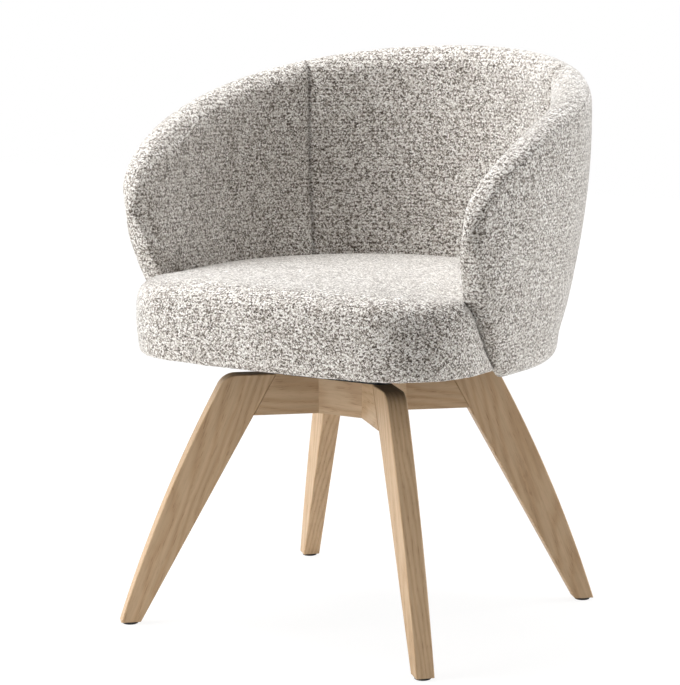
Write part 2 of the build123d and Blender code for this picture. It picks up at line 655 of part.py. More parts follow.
def all_nodes():
    """Every piece by name, about the swivel axis."""
    nodes = {f"{name}_leg": turned(leg(), bearing) for name, bearing in LEG_BEARINGS.items()}
    nodes |= {f"{name}_glide": turned(glide(), bearing) for name, bearing in LEG_BEARINGS.items()}
    nodes["leg_dowels"] = [turned(pin, bearing) for pin in leg_dowels() for bearing in LEG_BEARINGS.values()]
    middle = BEAM_BOTTOM + BEAM_HEIGHT / 2
    nodes["lower_cross_beam"] = beam(LEG_BEARINGS["rear_right"], middle)
    nodes["upper_cross_beam"] = beam(LEG_BEARINGS["front_right"], BEAM_BOTTOM)
    nodes |= {f"{name}_corner_block": corner_block(bearing) for name, bearing in BLOCK_BEARINGS.items()}
    nodes["swivel_lower_plate"] = swivel_lower_plate()
    nodes["lower_swivel_screws"] = lower_swivel_screws()
    nodes["ball_cage"] = ball_cage()
    nodes["bearing_balls"] = bearing_balls()
    nodes["swivel_upper_plate"] = swivel_upper_plate()
    nodes["stop_pin"] = stop_pin()
    nodes["upper_swivel_screws"] = upper_swivel_screws()
    nodes["t_nuts"] = t_nuts()
    nodes["pivot_stud"] = pivot_stud()
    nodes["pivot_washer"] = pivot_washer()
    nodes["lock_nut"] = lock_nut()
    nodes["seat_board"] = seat_board()
    nodes["seat_cushion"] = seat_cushion()
    nodes["dust_cover"] = dust_cover()
    nodes |= tub_nodes()
    nodes["frame_screws"] = at_frame_screws(wood_screw(FRAME_SCREW_DIA, FRAME_SCREW_LENGTH))
    return nodes


os.makedirs("parts", exist_ok=True)
NODES = {name: shape if isinstance(shape, list) else [shape] for name, shape in all_nodes().items()}
SOLIDS = [solid for shapes in NODES.values() for shape in shapes for solid in shape.solids()]
DEPTH = Compound(SOLIDS).bounding_box()
TO_MIDDLE = Pos(0, -(DEPTH.min.Y + DEPTH.max.Y) / 2, 0)
for name, shapes in NODES.items():
    solids = [TO_MIDDLE * solid for shape in shapes for solid in shape.solids()]
    export_step(Compound(solids) if len(solids) > 1 else solids[0], f"parts/{name}.step")
print("swivel axis at y =", round(TO_MIDDLE.position.Y, 3))
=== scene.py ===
"""Looks of an upholstered swivel armchair with an oak base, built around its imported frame."""

import json
import logging
import math
from dataclasses import dataclass, field
from enum import Enum
from typing import Any, Iterable

import bmesh
import bpy
import numpy as np
from mathutils import Matrix, Vector, kdtree, noise

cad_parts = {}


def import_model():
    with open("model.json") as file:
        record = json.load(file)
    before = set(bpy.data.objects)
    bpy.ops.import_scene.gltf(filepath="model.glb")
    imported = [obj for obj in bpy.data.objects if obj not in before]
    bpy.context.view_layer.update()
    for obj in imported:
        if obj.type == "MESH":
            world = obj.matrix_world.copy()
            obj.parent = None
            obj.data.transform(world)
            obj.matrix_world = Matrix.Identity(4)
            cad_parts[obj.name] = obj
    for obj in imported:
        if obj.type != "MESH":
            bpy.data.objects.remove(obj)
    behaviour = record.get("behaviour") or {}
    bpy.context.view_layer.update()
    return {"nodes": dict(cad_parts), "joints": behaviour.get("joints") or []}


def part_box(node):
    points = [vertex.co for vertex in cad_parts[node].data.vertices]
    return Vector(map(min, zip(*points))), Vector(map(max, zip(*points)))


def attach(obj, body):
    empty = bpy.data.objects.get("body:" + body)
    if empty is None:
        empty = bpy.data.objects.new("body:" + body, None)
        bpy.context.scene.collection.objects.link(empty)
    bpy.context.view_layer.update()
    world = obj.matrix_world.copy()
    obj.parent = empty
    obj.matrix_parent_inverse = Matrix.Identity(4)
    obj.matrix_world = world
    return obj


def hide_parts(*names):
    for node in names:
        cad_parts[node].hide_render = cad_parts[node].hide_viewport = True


LOG = logging.getLogger("armchair")
MM = 0.001
PICTURE_HEIGHT = 685
TUB = "tub"
SEAM_SHADE_LAYER = "seam"
WHITE = "#FFFFFF"
BLACK = "#000000"
MERGE = 0.01 * MM
TINY = 1e-9


def linear(colour: str) -> tuple[float, float, float, float]:
    """Turns an sRGB hex colour to linear light.

    Args:
        colour: six hex digits after a hash sign.

    Returns:
        Red, green, blue and an alpha of one.
    """
    shares = [int(colour[i : i + 2], 16) / 255 for i in (1, 3, 5)]
    light = [c / 12.92 if c <= 0.04045 else ((c + 0.055) / 1.055) ** 2.4 for c in shares]
    return (light[0], light[1], light[2], 1.0)


def add_node(
    tree: bpy.types.NodeTree, kind: str, settings: dict[Any, Any], links: dict[Any, Any]
) -> bpy.types.Node:
    """Adds one node with its settings and links.

    Args:
        tree: the node tree of a material or of the world.
        kind: the node's type name.
        settings: fields, or inputs by name or number, with their values; stops holds a ramp's places and
            colours.
        links: inputs by name or number, with the socket that feeds each.

    Returns:
        The new node.
    """
    node = tree.nodes.new(kind)
    for key, value in settings.items():
        if key == "stops":
            ramp = node.color_ramp
            while len(ramp.elements) < len(value):
                ramp.elements.new(0.5)
            for element, (place, colour) in zip(ramp.elements, value):
                element.position = place
                element.color = colour
        elif isinstance(key, int) or key in node.inputs:
            node.inputs[key].default_value = value
        else:
            setattr(node, key, value)
    for key, socket in links.items():
        tree.links.new(socket, node.inputs[key])
    return node


def new_material(name: str) -> tuple[bpy.types.Material, bpy.types.NodeTree, bpy.types.Node, Any]:
    """Starts a material.

    Args:
        name: the material's name.

    Returns:
        The material, its tree, its shader node and the socket of the Object coordinates.
    """
    material = bpy.data.materials.new(name)
    material.use_nodes = True
    tree = material.node_tree
    tree.nodes.clear()
    shader = add_node(tree, "ShaderNodeBsdfPrincipled", {}, {})
    add_node(tree, "ShaderNodeOutputMaterial", {}, {"Surface": shader.outputs[0]})
    place = add_node(tree, "ShaderNodeTexCoord", {}, {}).outputs["Object"]
    return material, tree, shader, place


def paint(obj: bpy.types.Object, material: bpy.types.Material) -> None:
    """Gives an object one material."""
    obj.data.materials.clear()
    obj.data.materials.append(material)


class Gloss(Enum):
    """How dull a finish is, as its roughness."""

    POLISHED = 0.08
    SATIN = 0.34
    MOULDED = 0.5
    POWDER = 0.58
    RAW = 0.75
    CLOTH = 0.95


@dataclass(frozen=True)
class BoucleFinish:
    """Boucle: a looped yarn of off-white with grey and brown strands, woven thick.

    Each loop is a soft nub of 2 to 3 mm that is pale on top, with painted shade darkening the colour between
    the loops, so the cloth reads as salt and pepper. The loops lie in rows, and each upright seam shows as a
    dark line of painted shade in its pinch.
    """

    name: str
    rows: tuple[float, float, float]  # the direction across the rows of loops
    pale: str = "#FFFEFB"
    mid: str = "#DAD5CF"
    grey: str = "#9A9188"
    dark: str = "#4A423B"
    # the colour of the painted shade in a seam's pinch
    seam: str = "#3A342F"
    nub: float = 2.1 * MM  # a loop's width
    strand: float = 1.3 * MM  # a single strand's width
    row: float = 5.6 * MM  # between rows
    row_share: float = 0.05  # how much the rows shift the colour
    loop_share: float = 0.55  # of the colour that goes by loop, the rest by strand
    seam_shade_share: float = 0.5  # how dark the painted shade along a seam gets
    drift: float = 45 * MM  # width of the slow changes of tone
    loft: float = 0.7 * MM  # height of the loops in the bump
    sheen: float = 0.6

    def make(self) -> bpy.types.Material:
        """Builds the cloth's nodes.

        Returns:
            The material.
        """
        material, tree, shader, place = new_material(self.name)
        sway = add_node(
            tree, "ShaderNodeTexNoise", {"Scale": 0.5 / self.nub, "Detail": 2.0}, {"Vector": place}
        )
        pull = add_node(
            tree,
            "ShaderNodeVectorMath",
            {"operation": "MULTIPLY_ADD", 1: (self.nub,) * 3},
            {0: sway.outputs[1], 2: place},
        )
        loops = add_node(tree, "ShaderNodeTexVoronoi", {"Scale": 1 / self.nub}, {"Vector": pull.outputs[0]})
        strands = add_node(
            tree, "ShaderNodeTexVoronoi", {"Scale": 1 / self.strand}, {"Vector": pull.outputs[0]}
        )
        pick = add_node(tree, "ShaderNodeSeparateColor", {}, {0: loops.outputs["Color"]})
        fine = add_node(tree, "ShaderNodeSeparateColor", {}, {0: strands.outputs["Color"]})
        turns = Vector(self.rows) * (2 * math.pi / self.row)
        ply = add_node(
            tree, "ShaderNodeVectorMath", {"operation": "DOT_PRODUCT", 1: turns}, {0: pull.outputs[0]}
        )
        wave = add_node(tree, "ShaderNodeMath", {"operation": "SINE"}, {0: ply.outputs["Value"]})
        lined = add_node(
            tree, "ShaderNodeMath", {"operation": "MULTIPLY_ADD", 1: self.loop_share}, {0: pick.outputs[0]}
        )
        rest = 1 - self.loop_share
        share = add_node(tree, "ShaderNodeMath", {"operation": "MULTIPLY", 1: rest}, {0: fine.outputs[0]})
        tree.links.new(share.outputs[0], lined.inputs[2])
        blend = add_node(
            tree,
            "ShaderNodeMath",
            {"operation": "MULTIPLY_ADD", 1: self.row_share},
            {0: wave.outputs[0], 2: lined.outputs[0]},
        )
        stops = [
            (0.26, linear(self.pale)),
            (0.48, linear(self.mid)),
            (0.62, linear(self.grey)),
            (0.82, linear(self.dark)),
        ]
        yarn = add_node(tree, "ShaderNodeValToRGB", {"stops": stops}, {0: blend.outputs[0]})
        # Painted shade: the yarn's colour darkens towards the edge of each loop, where shade falls between
        # the loops.
        gap_shade_stops = [(0.3, linear(WHITE)), (0.85, linear("#D0CCC8"))]
        gap = add_node(tree, "ShaderNodeValToRGB", {"stops": gap_shade_stops}, {0: loops.outputs["Distance"]})
        shaded = add_node(
            tree,
            "ShaderNodeMix",
            {"data_type": "RGBA", "blend_type": "MULTIPLY", 0: 1.0},
            {6: yarn.outputs[0], 7: gap.outputs[0]},
        )
        patch = add_node(
            tree, "ShaderNodeTexNoise", {"Scale": 1 / self.drift, "Detail": 2.0}, {"Vector": place}
        )
        tones = [(0.3, linear("#F3F2F1")), (0.7, linear(WHITE))]
        tone = add_node(tree, "ShaderNodeValToRGB", {"stops": tones}, {0: patch.outputs[0]})
        cloth = add_node(
            tree,
            "ShaderNodeMix",
            {"data_type": "RGBA", "blend_type": "MULTIPLY", 0: 1.0},
            {6: shaded.outputs[2], 7: tone.outputs[0]},
        )
        # Painted shade: along the upright seams the colour darkens towards the seam colour, standing in for
        # shade in the seam's pinch.
        sewn = add_node(tree, "ShaderNodeAttribute", {"attribute_name": SEAM_SHADE_LAYER}, {})
        sunk = add_node(
            tree, "ShaderNodeMath", {"operation": "MULTIPLY", 1: self.seam_shade_share}, {0: sewn.outputs["Fac"]}
        )
        lines = add_node(
            tree,
            "ShaderNodeMix",
            {"data_type": "RGBA", 7: linear(self.seam)},
            {0: sunk.outputs[0], 6: cloth.outputs[2]},
        )
        tree.links.new(lines.outputs[2], shader.inputs["Base Color"])
        height = add_node(
            tree, "ShaderNodeMath", {"operation": "MULTIPLY_ADD", 1: 0.5}, {0: strands.outputs["Distance"]}
        )
        tree.links.new(loops.outputs["Distance"], height.inputs[2])
        bump = add_node(
            tree,
            "ShaderNodeBump",
            {"invert": True, "Strength": 0.5, "Distance": self.loft},
            {"Height": height.outputs[0]},
        )
        tree.links.new(bump.outputs[0], shader.inputs["Normal"])
        shader.inputs["Roughness"].default_value = Gloss.CLOTH.value
        shader.inputs["Specular IOR Level"].default_value = 0.15
        shader.inputs["Sheen Weight"].default_value = self.sheen
        shader.inputs["Sheen Roughness"].default_value = 0.45
        return material


@dataclass(frozen=True)
class OakFinish:
    """Oak, planed and matt oiled: growth rings in long arches, short dark pores along the grain, low gloss.

    The rings are 5 to 8 mm apart, soft and uneven, and lie about the heart of the tree, which is outside
    the piece.
    """

    name: str
    bearing: float  # of the piece about the upright, in degrees
    lean: float  # of its grain from the upright, in degrees
    centre: tuple[float, float, float]  # the piece's middle
    heart: tuple[float, float]  # the tree's heart, across the grain from that middle
    rise: float = 0.05  # how much the rings narrow along the grain, which draws the arches
    pale: str = "#C9AC8A"
    deep: str = "#BC9C78"
    pore_colour: str = "#8B6948"
    ring: float = 6.5 * MM  # between growth rings
    pore: float = 0.9 * MM
    pore_length: float = 16 * MM
    pore_depth: float = 0.3 * MM
    waver: float = 9 * MM  # how far the rings wander
    drift: tuple[float, float] = (36 * MM, 160 * MM)  # across and along the grain, of that wandering
    streak: tuple[float, float] = (3.8 * MM, 140 * MM)  # across and along the grain, of the fine streaks
    ior: float = 1.45

    def grain_turn(self) -> Matrix:
        """Returns the rotation that brings the piece's grain upright."""
        lean = Matrix.Rotation(math.radians(self.lean), 3, "Y")
        return lean @ Matrix.Rotation(math.radians(-self.bearing), 3, "Z")

    def make(self) -> bpy.types.Material:
        """Builds the wood's nodes for one piece.

        Returns:
            The material.
        """
        material, tree, shader, place = new_material(self.name)
        turn = self.grain_turn()
        grain = add_node(
            tree,
            "ShaderNodeMapping",
            {"Location": -(turn @ Vector(self.centre)), "Rotation": turn.to_euler()},
            {"Vector": place},
        )
        across = add_node(
            tree,
            "ShaderNodeMapping",
            {"Location": (-self.heart[0], -self.heart[1], 0.0), "Scale": (1.0, 1.0, 0.0)},
            {"Vector": grain.outputs[0]},
        )
        radius = add_node(tree, "ShaderNodeVectorMath", {"operation": "LENGTH"}, {0: across.outputs[0]})
        along = add_node(tree, "ShaderNodeSeparateXYZ", {}, {0: grain.outputs[0]})
        arch = add_node(
            tree,
            "ShaderNodeMath",
            {"operation": "MULTIPLY_ADD", 1: self.rise},
            {0: along.outputs[2], 2: radius.outputs["Value"]},
        )
        wide, long = 1 / self.drift[0], 1 / self.drift[1]
        slow = add_node(
            tree, "ShaderNodeMapping", {"Scale": (wide, wide, long)}, {"Vector": grain.outputs[0]}
        )
        wander = add_node(
            tree, "ShaderNodeTexNoise", {"Scale": 1.0, "Detail": 3.0}, {"Vector": slow.outputs[0]}
        )
        bent = add_node(
            tree,
            "ShaderNodeMath",
            {"operation": "MULTIPLY_ADD", 1: self.waver * 2},
            {0: wander.outputs[0], 2: arch.outputs[0]},
        )
        count = add_node(
            tree, "ShaderNodeMath", {"operation": "DIVIDE", 1: self.ring}, {0: bent.outputs[0]}
        )
        phase = add_node(tree, "ShaderNodeMath", {"operation": "FRACT"}, {0: count.outputs[0]})
        deep, pale = linear(self.deep), linear(self.pale)
        stops = [(0.0, deep), (0.4, pale), (0.7, pale), (1.0, deep)]
        rings = add_node(tree, "ShaderNodeValToRGB", {"stops": stops}, {0: phase.outputs[0]})
        thin = 1 / self.pore
        dashes = add_node(
            tree,
            "ShaderNodeMapping",
            {"Scale": (thin, thin, 1 / self.pore_length)},
            {"Vector": grain.outputs[0]},
        )
        spots = add_node(
            tree, "ShaderNodeTexNoise", {"Scale": 1.0, "Detail": 2.0}, {"Vector": dashes.outputs[0]}
        )
        holes = add_node(
            tree,
            "ShaderNodeValToRGB",
            {"stops": [(0.56, linear(BLACK)), (0.7, linear(WHITE))]},
            {0: spots.outputs[0]},
        )
        early = add_node(
            tree,
            "ShaderNodeValToRGB",
            {"stops": [(0.05, linear("#E1E1E1")), (0.45, linear("#818181"))]},
            {0: phase.outputs[0]},
        )
        dark = add_node(
            tree, "ShaderNodeMath", {"operation": "MULTIPLY"}, {0: holes.outputs[0], 1: early.outputs[0]}
        )
        pores = add_node(
            tree,
            "ShaderNodeMix",
            {"data_type": "RGBA", 7: linear(self.pore_colour)},
            {0: dark.outputs[0], 6: rings.outputs[0]},
        )
        fine, far = 1 / self.streak[0], 1 / self.streak[1]
        streaks = add_node(
            tree, "ShaderNodeMapping", {"Scale": (fine, fine, far)}, {"Vector": grain.outputs[0]}
        )
        streak = add_node(
            tree, "ShaderNodeTexNoise", {"Scale": 1.0, "Detail": 3.0}, {"Vector": streaks.outputs[0]}
        )
        tones = [(0.3, linear("#EFEEEC")), (0.68, linear(WHITE))]
        tone = add_node(tree, "ShaderNodeValToRGB", {"stops": tones}, {0: streak.outputs[0]})
        wood = add_node(
            tree,
            "ShaderNodeMix",
            {"data_type": "RGBA", "blend_type": "MULTIPLY", 0: 1.0},
            {6: pores.outputs[2], 7: tone.outputs[0]},
        )
        tree.links.new(wood.outputs[2], shader.inputs["Base Color"])
        rough = add_node(
            tree, "ShaderNodeMapRange", {"To Min": 0.5, "To Max": 0.72}, {"Value": dark.outputs[0]}
        )
        tree.links.new(rough.outputs[0], shader.inputs["Roughness"])
        bump = add_node(
            tree,
            "ShaderNodeBump",
            {"invert": True, "Strength": 0.35, "Distance": self.pore_depth},
            {"Height": dark.outputs[0]},
        )
        tree.links.new(bump.outputs[0], shader.inputs["Normal"])
        shader.inputs["IOR"].default_value = self.ior
        return material


@dataclass(frozen=True)
class PlainFinish:
    """A finish of one colour with a fine grain, such as powder coat, plastic, plated steel or spun cloth.

    The grain gives small shifts of colour and gloss, as dust, plating and mould texture do.
    """

    name: str
    colour: str
    shade: str
    gloss: Gloss
    grain: float  # size of the grain
    depth: float  # of the grain in the bump
    metallic: float = 0.0
    stretch: tuple[float, float, float] = (1.0, 1.0, 1.0)

    def make(self) -> bpy.types.Material:
        """Builds the finish's nodes.

        Returns:
            The material.
        """
        material, tree, shader, place = new_material(self.name)
        scaled = add_node(tree, "ShaderNodeMapping", {"Scale": self.stretch}, {"Vector": place})
        grit = add_node(
            tree,
            "ShaderNodeTexNoise",
            {"Scale": 1 / self.grain, "Detail": 4.0},
            {"Vector": scaled.outputs[0]},
        )
        stops = [(0.32, linear(self.shade)), (0.66, linear(self.colour))]
        tint = add_node(tree, "ShaderNodeValToRGB", {"stops": stops}, {0: grit.outputs[0]})
        tree.links.new(tint.outputs[0], shader.inputs["Base Color"])
        low, high = self.gloss.value * 0.88, min(self.gloss.value * 1.15, 1.0)
        rough = add_node(
            tree, "ShaderNodeMapRange", {"To Min": low, "To Max": high}, {"Value": grit.outputs[0]}
        )
        tree.links.new(rough.outputs[0], shader.inputs["Roughness"])
        bump = add_node(
            tree, "ShaderNodeBump", {"Strength": 0.4, "Distance": self.depth}, {"Height": grit.outputs[0]}
        )
        tree.links.new(bump.outputs[0], shader.inputs["Normal"])
        shader.inputs["Metallic"].default_value = self.metallic
        return material


@dataclass(frozen=True)
class PlyFinish:
    """Birch plywood, sanded and left raw: pale faces with a soft figure, an edge of light and dark plies."""

    name: str = "birch_plywood"
    pale: str = "#E2C9A4"
    deep: str = "#B99468"
    ply: float = 1.5 * MM  # thickness of one ply
    figure: tuple[float, float] = (4.2 * MM, 84 * MM)  # across and along the grain of the face

    def make(self) -> bpy.types.Material:
        """Builds the plywood's nodes.

        Returns:
            The material.
        """
        material, tree, shader, place = new_material(self.name)
        along = add_node(tree, "ShaderNodeSeparateXYZ", {}, {0: place})
        layer = add_node(
            tree, "ShaderNodeMath", {"operation": "DIVIDE", 1: 2 * self.ply}, {0: along.outputs[2]}
        )
        phase = add_node(tree, "ShaderNodeMath", {"operation": "FRACT"}, {0: layer.outputs[0]})
        deep, pale = linear(self.deep), linear(self.pale)
        plies = [(0.44, pale), (0.5, deep), (0.94, deep), (1.0, pale)]
        edge = add_node(tree, "ShaderNodeValToRGB", {"stops": plies}, {0: phase.outputs[0]})
        fine, far = 1 / self.figure[0], 1 / self.figure[1]
        drawn = add_node(tree, "ShaderNodeMapping", {"Scale": (far, fine, fine)}, {"Vector": place})
        flame = add_node(
            tree, "ShaderNodeTexNoise", {"Scale": 1.0, "Detail": 3.0}, {"Vector": drawn.outputs[0]}
        )
        tones = [(0.3, linear("#E9E7E3")), (0.7, linear(WHITE))]
        tone = add_node(tree, "ShaderNodeValToRGB", {"stops": tones}, {0: flame.outputs[0]})
        wood = add_node(
            tree,
            "ShaderNodeMix",
            {"data_type": "RGBA", "blend_type": "MULTIPLY", 0: 1.0},
            {6: edge.outputs[0], 7: tone.outputs[0]},
        )
        tree.links.new(wood.outputs[2], shader.inputs["Base Color"])
        shader.inputs["Roughness"].default_value = Gloss.RAW.value
        return material


@dataclass
class TubForm:
    """The shell that the upholstery follows, in metres about the swivel's axis."""

    centre: float = 9.5 * MM  # the rounded back's centre behind the swivel axis
    half_width: float = 276.5 * MM  # outside, at seat level
    flare: float = 40.5 * MM  # wider than that at the rim
    flare_from: float = 403 * MM
    flare_to: float = 700 * MM
    shorten: float = 8.5 * MM  # how much less deep than wide the rounded back is
    nose_reach: float = 176 * MM  # swivel axis to the foremost point of an arm
    nose_height: float = 571 * MM
    nose_radius: float = 20 * MM
    toe: float = 14 * MM  # how far the outer side of an arm's wall draws in towards its nose
    toe_run: float = 150 * MM  # along which it does so
    turn_in: float = 8 * MM  # how far the whole wall turns in there
    rim_rise: float = 231.3 * MM  # nose to the top of the back
    rim_power: float = 0.434  # how quickly the rim climbs away from the nose
    wall: float = 45 * MM  # thickness in the arms
    back_extra: float = 9 * MM  # thicker than that behind the sitter
    arm_run: float = 120 * MM  # along which an arm's lower edge falls from the nose to the bottom
    arm_power: float = 0.85
    arm_turn: float = 1.35  # how softly that edge turns level at the bottom
    shell_bottom: float = 372 * MM
    under_radius: float = 25 * MM
    heel_radius: float = 10 * MM
    foot_share: float = 0.46  # most of the thickness that an under-edge's radius takes
    arm_crest: float = 0.5  # the rim's crest from outside, as a share of the thickness
    back_crest: float = 0.605
    arm_drop: float = 0.6  # height of the rim's outer round over its width
    back_drop: float = 1.1
    seam_rise: float = 0.15  # the sine of the lowest angle on that round at which the seam lies
    round_from: float = 120 * MM  # behind the nose, where the rim's round starts to change to the back's
    round_to: float = 300 * MM
    tuck: float = 2 * MM  # how far the outer cover draws in low down
    tuck_from: float = 460 * MM
    tuck_to: float = 410 * MM
    roll: float = 16 * MM  # rolled rim above the seam with the outer cover
    roll_share: float = 0.3  # most of the wall's height that the roll takes
    split: float = 0.43  # where the covers meet below, as a share of the thickness
    board_top: float = 403.5 * MM
    board_from: float = 88 * MM  # along the arm, where the inner cover's edge rises to the board
    board_to: float = 102 * MM
    bow_points: int = 24  # points along a round in a cut
    flank_points: int = 60  # points along a flank in a cut
    rim_points: int = 4000  # points that measure the rim's length

    @property
    def arm_length(self) -> float:
        """Length of the straight part of an arm."""
        return self.nose_reach + self.centre

    @staticmethod
    def ease(share: np.ndarray) -> np.ndarray:
        """Eases from 0 to 1."""
        held = np.clip(share, 0, 1)
        return held * held * (3 - 2 * held)

    def outer(self, height: np.ndarray) -> np.ndarray:
        """Returns the shell's half width outside at each height."""
        share = np.clip((height - self.flare_from) / (self.flare_to - self.flare_from), 0, 1)
        return self.half_width + self.flare * np.sin(math.pi / 2 * share)

    def skin(self, height: np.ndarray) -> np.ndarray:
        """Returns the outer cover's half width, which tucks in a little low down."""
        low = self.ease((self.tuck_from - height) / (self.tuck_from - self.tuck_to))
        return self.outer(height) - self.tuck * low

    def place(self, points: np.ndarray) -> tuple[np.ndarray, np.ndarray, np.ndarray]:
        """Finds where points lie in the shell.

        Args:
            points: rows of x, y and z.

        Returns:
            The bearing about the back in radians, the run from the arm's nose, and the depth under the outer
            face.
        """
        x, y, z = points.T
        bearing = np.arctan2(y - self.centre, x)
        # The back isn't a true circle, so its bearing settles over a few rounds.
        for _ in range(4):
            bearing = np.arctan2(y - self.centre + self.shorten * np.sin(bearing), x)
        on_arm = y < self.centre
        bearing = np.where(on_arm, np.where(x > 0, 0.0, math.pi), bearing)
        radial = np.hypot(x, y - self.centre + self.shorten * np.sin(bearing))
        out = np.where(on_arm, np.abs(x), radial)
        run = np.where(on_arm, y + self.nose_reach, self.arm_length)
        return bearing, run, self.outer(z) - self.inset(bearing, run) - out

    def reach(self, bearing: np.ndarray, run: np.ndarray) -> np.ndarray:
        """Returns the distance behind the nose, which sets the rim's height."""
        return np.clip(run + (self.half_width + self.flare - self.shorten) * np.sin(bearing), 0, None)

    def top(self, bearing: np.ndarray, run: np.ndarray) -> np.ndarray:
        """Returns the rim's height."""
        full = self.arm_length + self.half_width + self.flare - self.shorten
        return self.nose_height + self.rim_rise * (self.reach(bearing, run) / full) ** self.rim_power

    def bottom(self, bearing: np.ndarray, run: np.ndarray) -> np.ndarray:
        """Works out the lower edge's sweep.

        Args:
            bearing: the bearing about the back.
            run: the run from the arm's nose.

        Returns:
            The lower edge's height.
        """
        share = np.clip(self.reach(bearing, run) / self.arm_run, 0, 1)
        fall = 1 - (1 - share**self.arm_power) ** self.arm_turn
        return self.nose_height - (self.nose_height - self.shell_bottom) * fall

    def thick(self, bearing: np.ndarray, run: np.ndarray) -> np.ndarray:
        """Returns the wall's thickness, which rounds off at the arm's nose."""
        short = np.clip(1 - run / self.nose_radius, 0, 1)
        return self.full(bearing, run) * np.sqrt(1 - short * short)

    def full(self, bearing: np.ndarray, run: np.ndarray) -> np.ndarray:
        """Returns the wall's thickness before the nose rounds it off."""
        return self.wall + self.back_extra * np.sin(bearing) - self.taper(run)

    def taper(self, run: np.ndarray) -> np.ndarray:
        """Returns how far the wall's outer side draws in towards the arm's nose."""
        return self.toe * self.near_nose(run)

    def near_nose(self, run: np.ndarray) -> np.ndarray:
        """Returns 1 at the arm's nose, easing to 0 along the arm."""
        return np.clip(1 - run / self.toe_run, 0, 1) ** 2

    def inset(self, bearing: np.ndarray, run: np.ndarray) -> np.ndarray:
        """Returns how far the outer side lies inside the full width near the arm's nose."""
        drawn = self.taper(run) + self.turn_in * self.near_nose(run)
        return drawn + (self.full(bearing, run) - self.thick(bearing, run)) / 2

    def stations(self, spacing: float) -> list[tuple[float, float]]:
        """Spaces upright cuts evenly along the rim.

        Args:
            spacing: the distance between cuts.

        Returns:
            Each cut's bearing and run, from the right arm's nose round the back to the left arm's.
        """
        dense = self.arm_length * np.linspace(0, 1, self.rim_points) ** 3
        climb = self.top(np.zeros_like(dense), dense)
        length = np.concatenate([[0], np.cumsum(np.hypot(np.diff(dense), np.diff(climb)))])
        runs = np.interp(np.linspace(0, length[-1], round(length[-1] / spacing) + 1), length, dense)[:-1]
        turns = np.linspace(0, math.pi, round(math.pi * self.half_width / spacing) + 1)
        right = [(0.0, float(run)) for run in runs]
        left = [(math.pi, float(run)) for run in runs[::-1]]
        return right + [(float(turn), self.arm_length) for turn in turns] + left

    def stand(self, bearing: float, run: float, flat: np.ndarray) -> np.ndarray:
        """Stands a cut's line up in space.

        Args:
            bearing: the cut's bearing.
            run: the cut's run from the nose.
            flat: rows of distance out and height.

        Returns:
            Rows of x, y and z.
        """
        start = self.centre - self.shorten * math.sin(bearing)
        if run < self.arm_length:
            start = run - self.nose_reach
        out, up = flat.T
        return np.stack([out * math.cos(bearing), start + out * math.sin(bearing), up], 1)

    def curve(
        self, middle: tuple[float, float], radii: tuple[float, float], turn: tuple[float, float]
    ) -> np.ndarray:
        """Returns a bow of an ellipse between two angles in degrees, as rows of distance out and height."""
        angle = np.radians(np.linspace(turn[0], turn[1], self.bow_points))
        return np.stack([middle[0] + radii[0] * np.cos(angle), middle[1] + radii[1] * np.sin(angle)], 1)

    def flank(self, low: float, high: float, inset: float, depth: float) -> np.ndarray:
        """Draws the upright line of a cut.

        Args:
            low: the height it starts from.
            high: the height it ends at.
            inset: how far the outer side lies inside the full width.
            depth: the depth under the outer face; nothing means the outer cover itself.

        Returns:
            Rows of distance out and height.
        """
        level = np.linspace(low, high, self.flank_points)
        face = self.skin(level) if depth == 0 else self.outer(level) - depth
        return np.stack([face - inset, level], 1)

    def sheet_lines(self, bearing: float, run: float) -> tuple[np.ndarray, np.ndarray]:
        """Draws one cut's two covers.

        Args:
            bearing: the cut's bearing.
            run: the cut's run from the nose.

        Returns:
            The inner cover's line from the split under the arm to the rim's seam, and the outer cover's from
            that seam down to the split.
        """
        top, bottom = float(self.top(bearing, run)), float(self.bottom(bearing, run))
        thick, inset = float(self.thick(bearing, run)), float(self.inset(bearing, run))
        rim = thick / 2
        past = self.reach(bearing, run) - self.round_from
        behind = float(self.ease(past / (self.round_to - self.round_from)))
        over = thick * (self.arm_crest + (self.back_crest - self.arm_crest) * behind)
        drop = over * (self.arm_drop + (self.back_drop - self.arm_drop) * behind)
        under = min(self.under_radius, self.foot_share * thick)
        heel = min(self.heel_radius, self.foot_share * thick)
        crest = float(self.skin(top - drop)) - inset - over
        inner_wide = crest - float(self.outer(top - rim)) + inset + thick
        inner_foot = float(self.outer(bottom + heel)) - inset - thick + heel
        outer_foot = float(self.skin(bottom + under)) - inset - under
        roll = min(self.roll, self.roll_share * (top - bottom))
        seam = math.degrees(math.asin(np.clip(1 - roll / max(drop, TINY), self.seam_rise, 1)))
        across = (self.split * thick - under) / max(thick - under - heel, TINY)
        middle = outer_foot + (inner_foot - outer_foot) * across
        middle = min(max(middle, inner_foot), outer_foot)
        inner = [
            np.array([[middle, bottom]]),
            self.curve((inner_foot, bottom + heel), (heel, heel), (270, 180)),
            self.flank(bottom + heel, top - rim, inset, thick),
            self.curve((crest, top - rim), (inner_wide, rim), (180, 90)),
            self.curve((crest, top - drop), (over, drop), (90, seam)),
        ]
        outer = [
            self.curve((crest, top - drop), (over, drop), (seam, 0)),
            self.flank(top - drop, bottom + under, inset, 0),
            self.curve((outer_foot, bottom + under), (under, under), (360, 270)),
            np.array([[middle, bottom]]),
        ]
        line = np.concatenate(inner)
        lift = self.ease((run - self.board_from) / (self.board_to - self.board_from))
        floor = np.interp(self.board_top, line[:, 1], np.arange(len(line))) if lift > 0 else 0
        return self.trim(line, float(lift) * float(floor)), np.concatenate(outer)

    @staticmethod
    def trim(line: np.ndarray, start: float) -> np.ndarray:
        """Cuts off a line's first stretch.

        Args:
            line: rows of distance out and height.
            start: where the line now starts, as a place among its points.

        Returns:
            The rest of the line.
        """
        places = np.concatenate([[start], np.arange(math.floor(start) + 1, len(line))])
        order = np.arange(len(line))
        return np.stack([np.interp(places, order, line[:, 0]), np.interp(places, order, line[:, 1])], 1)

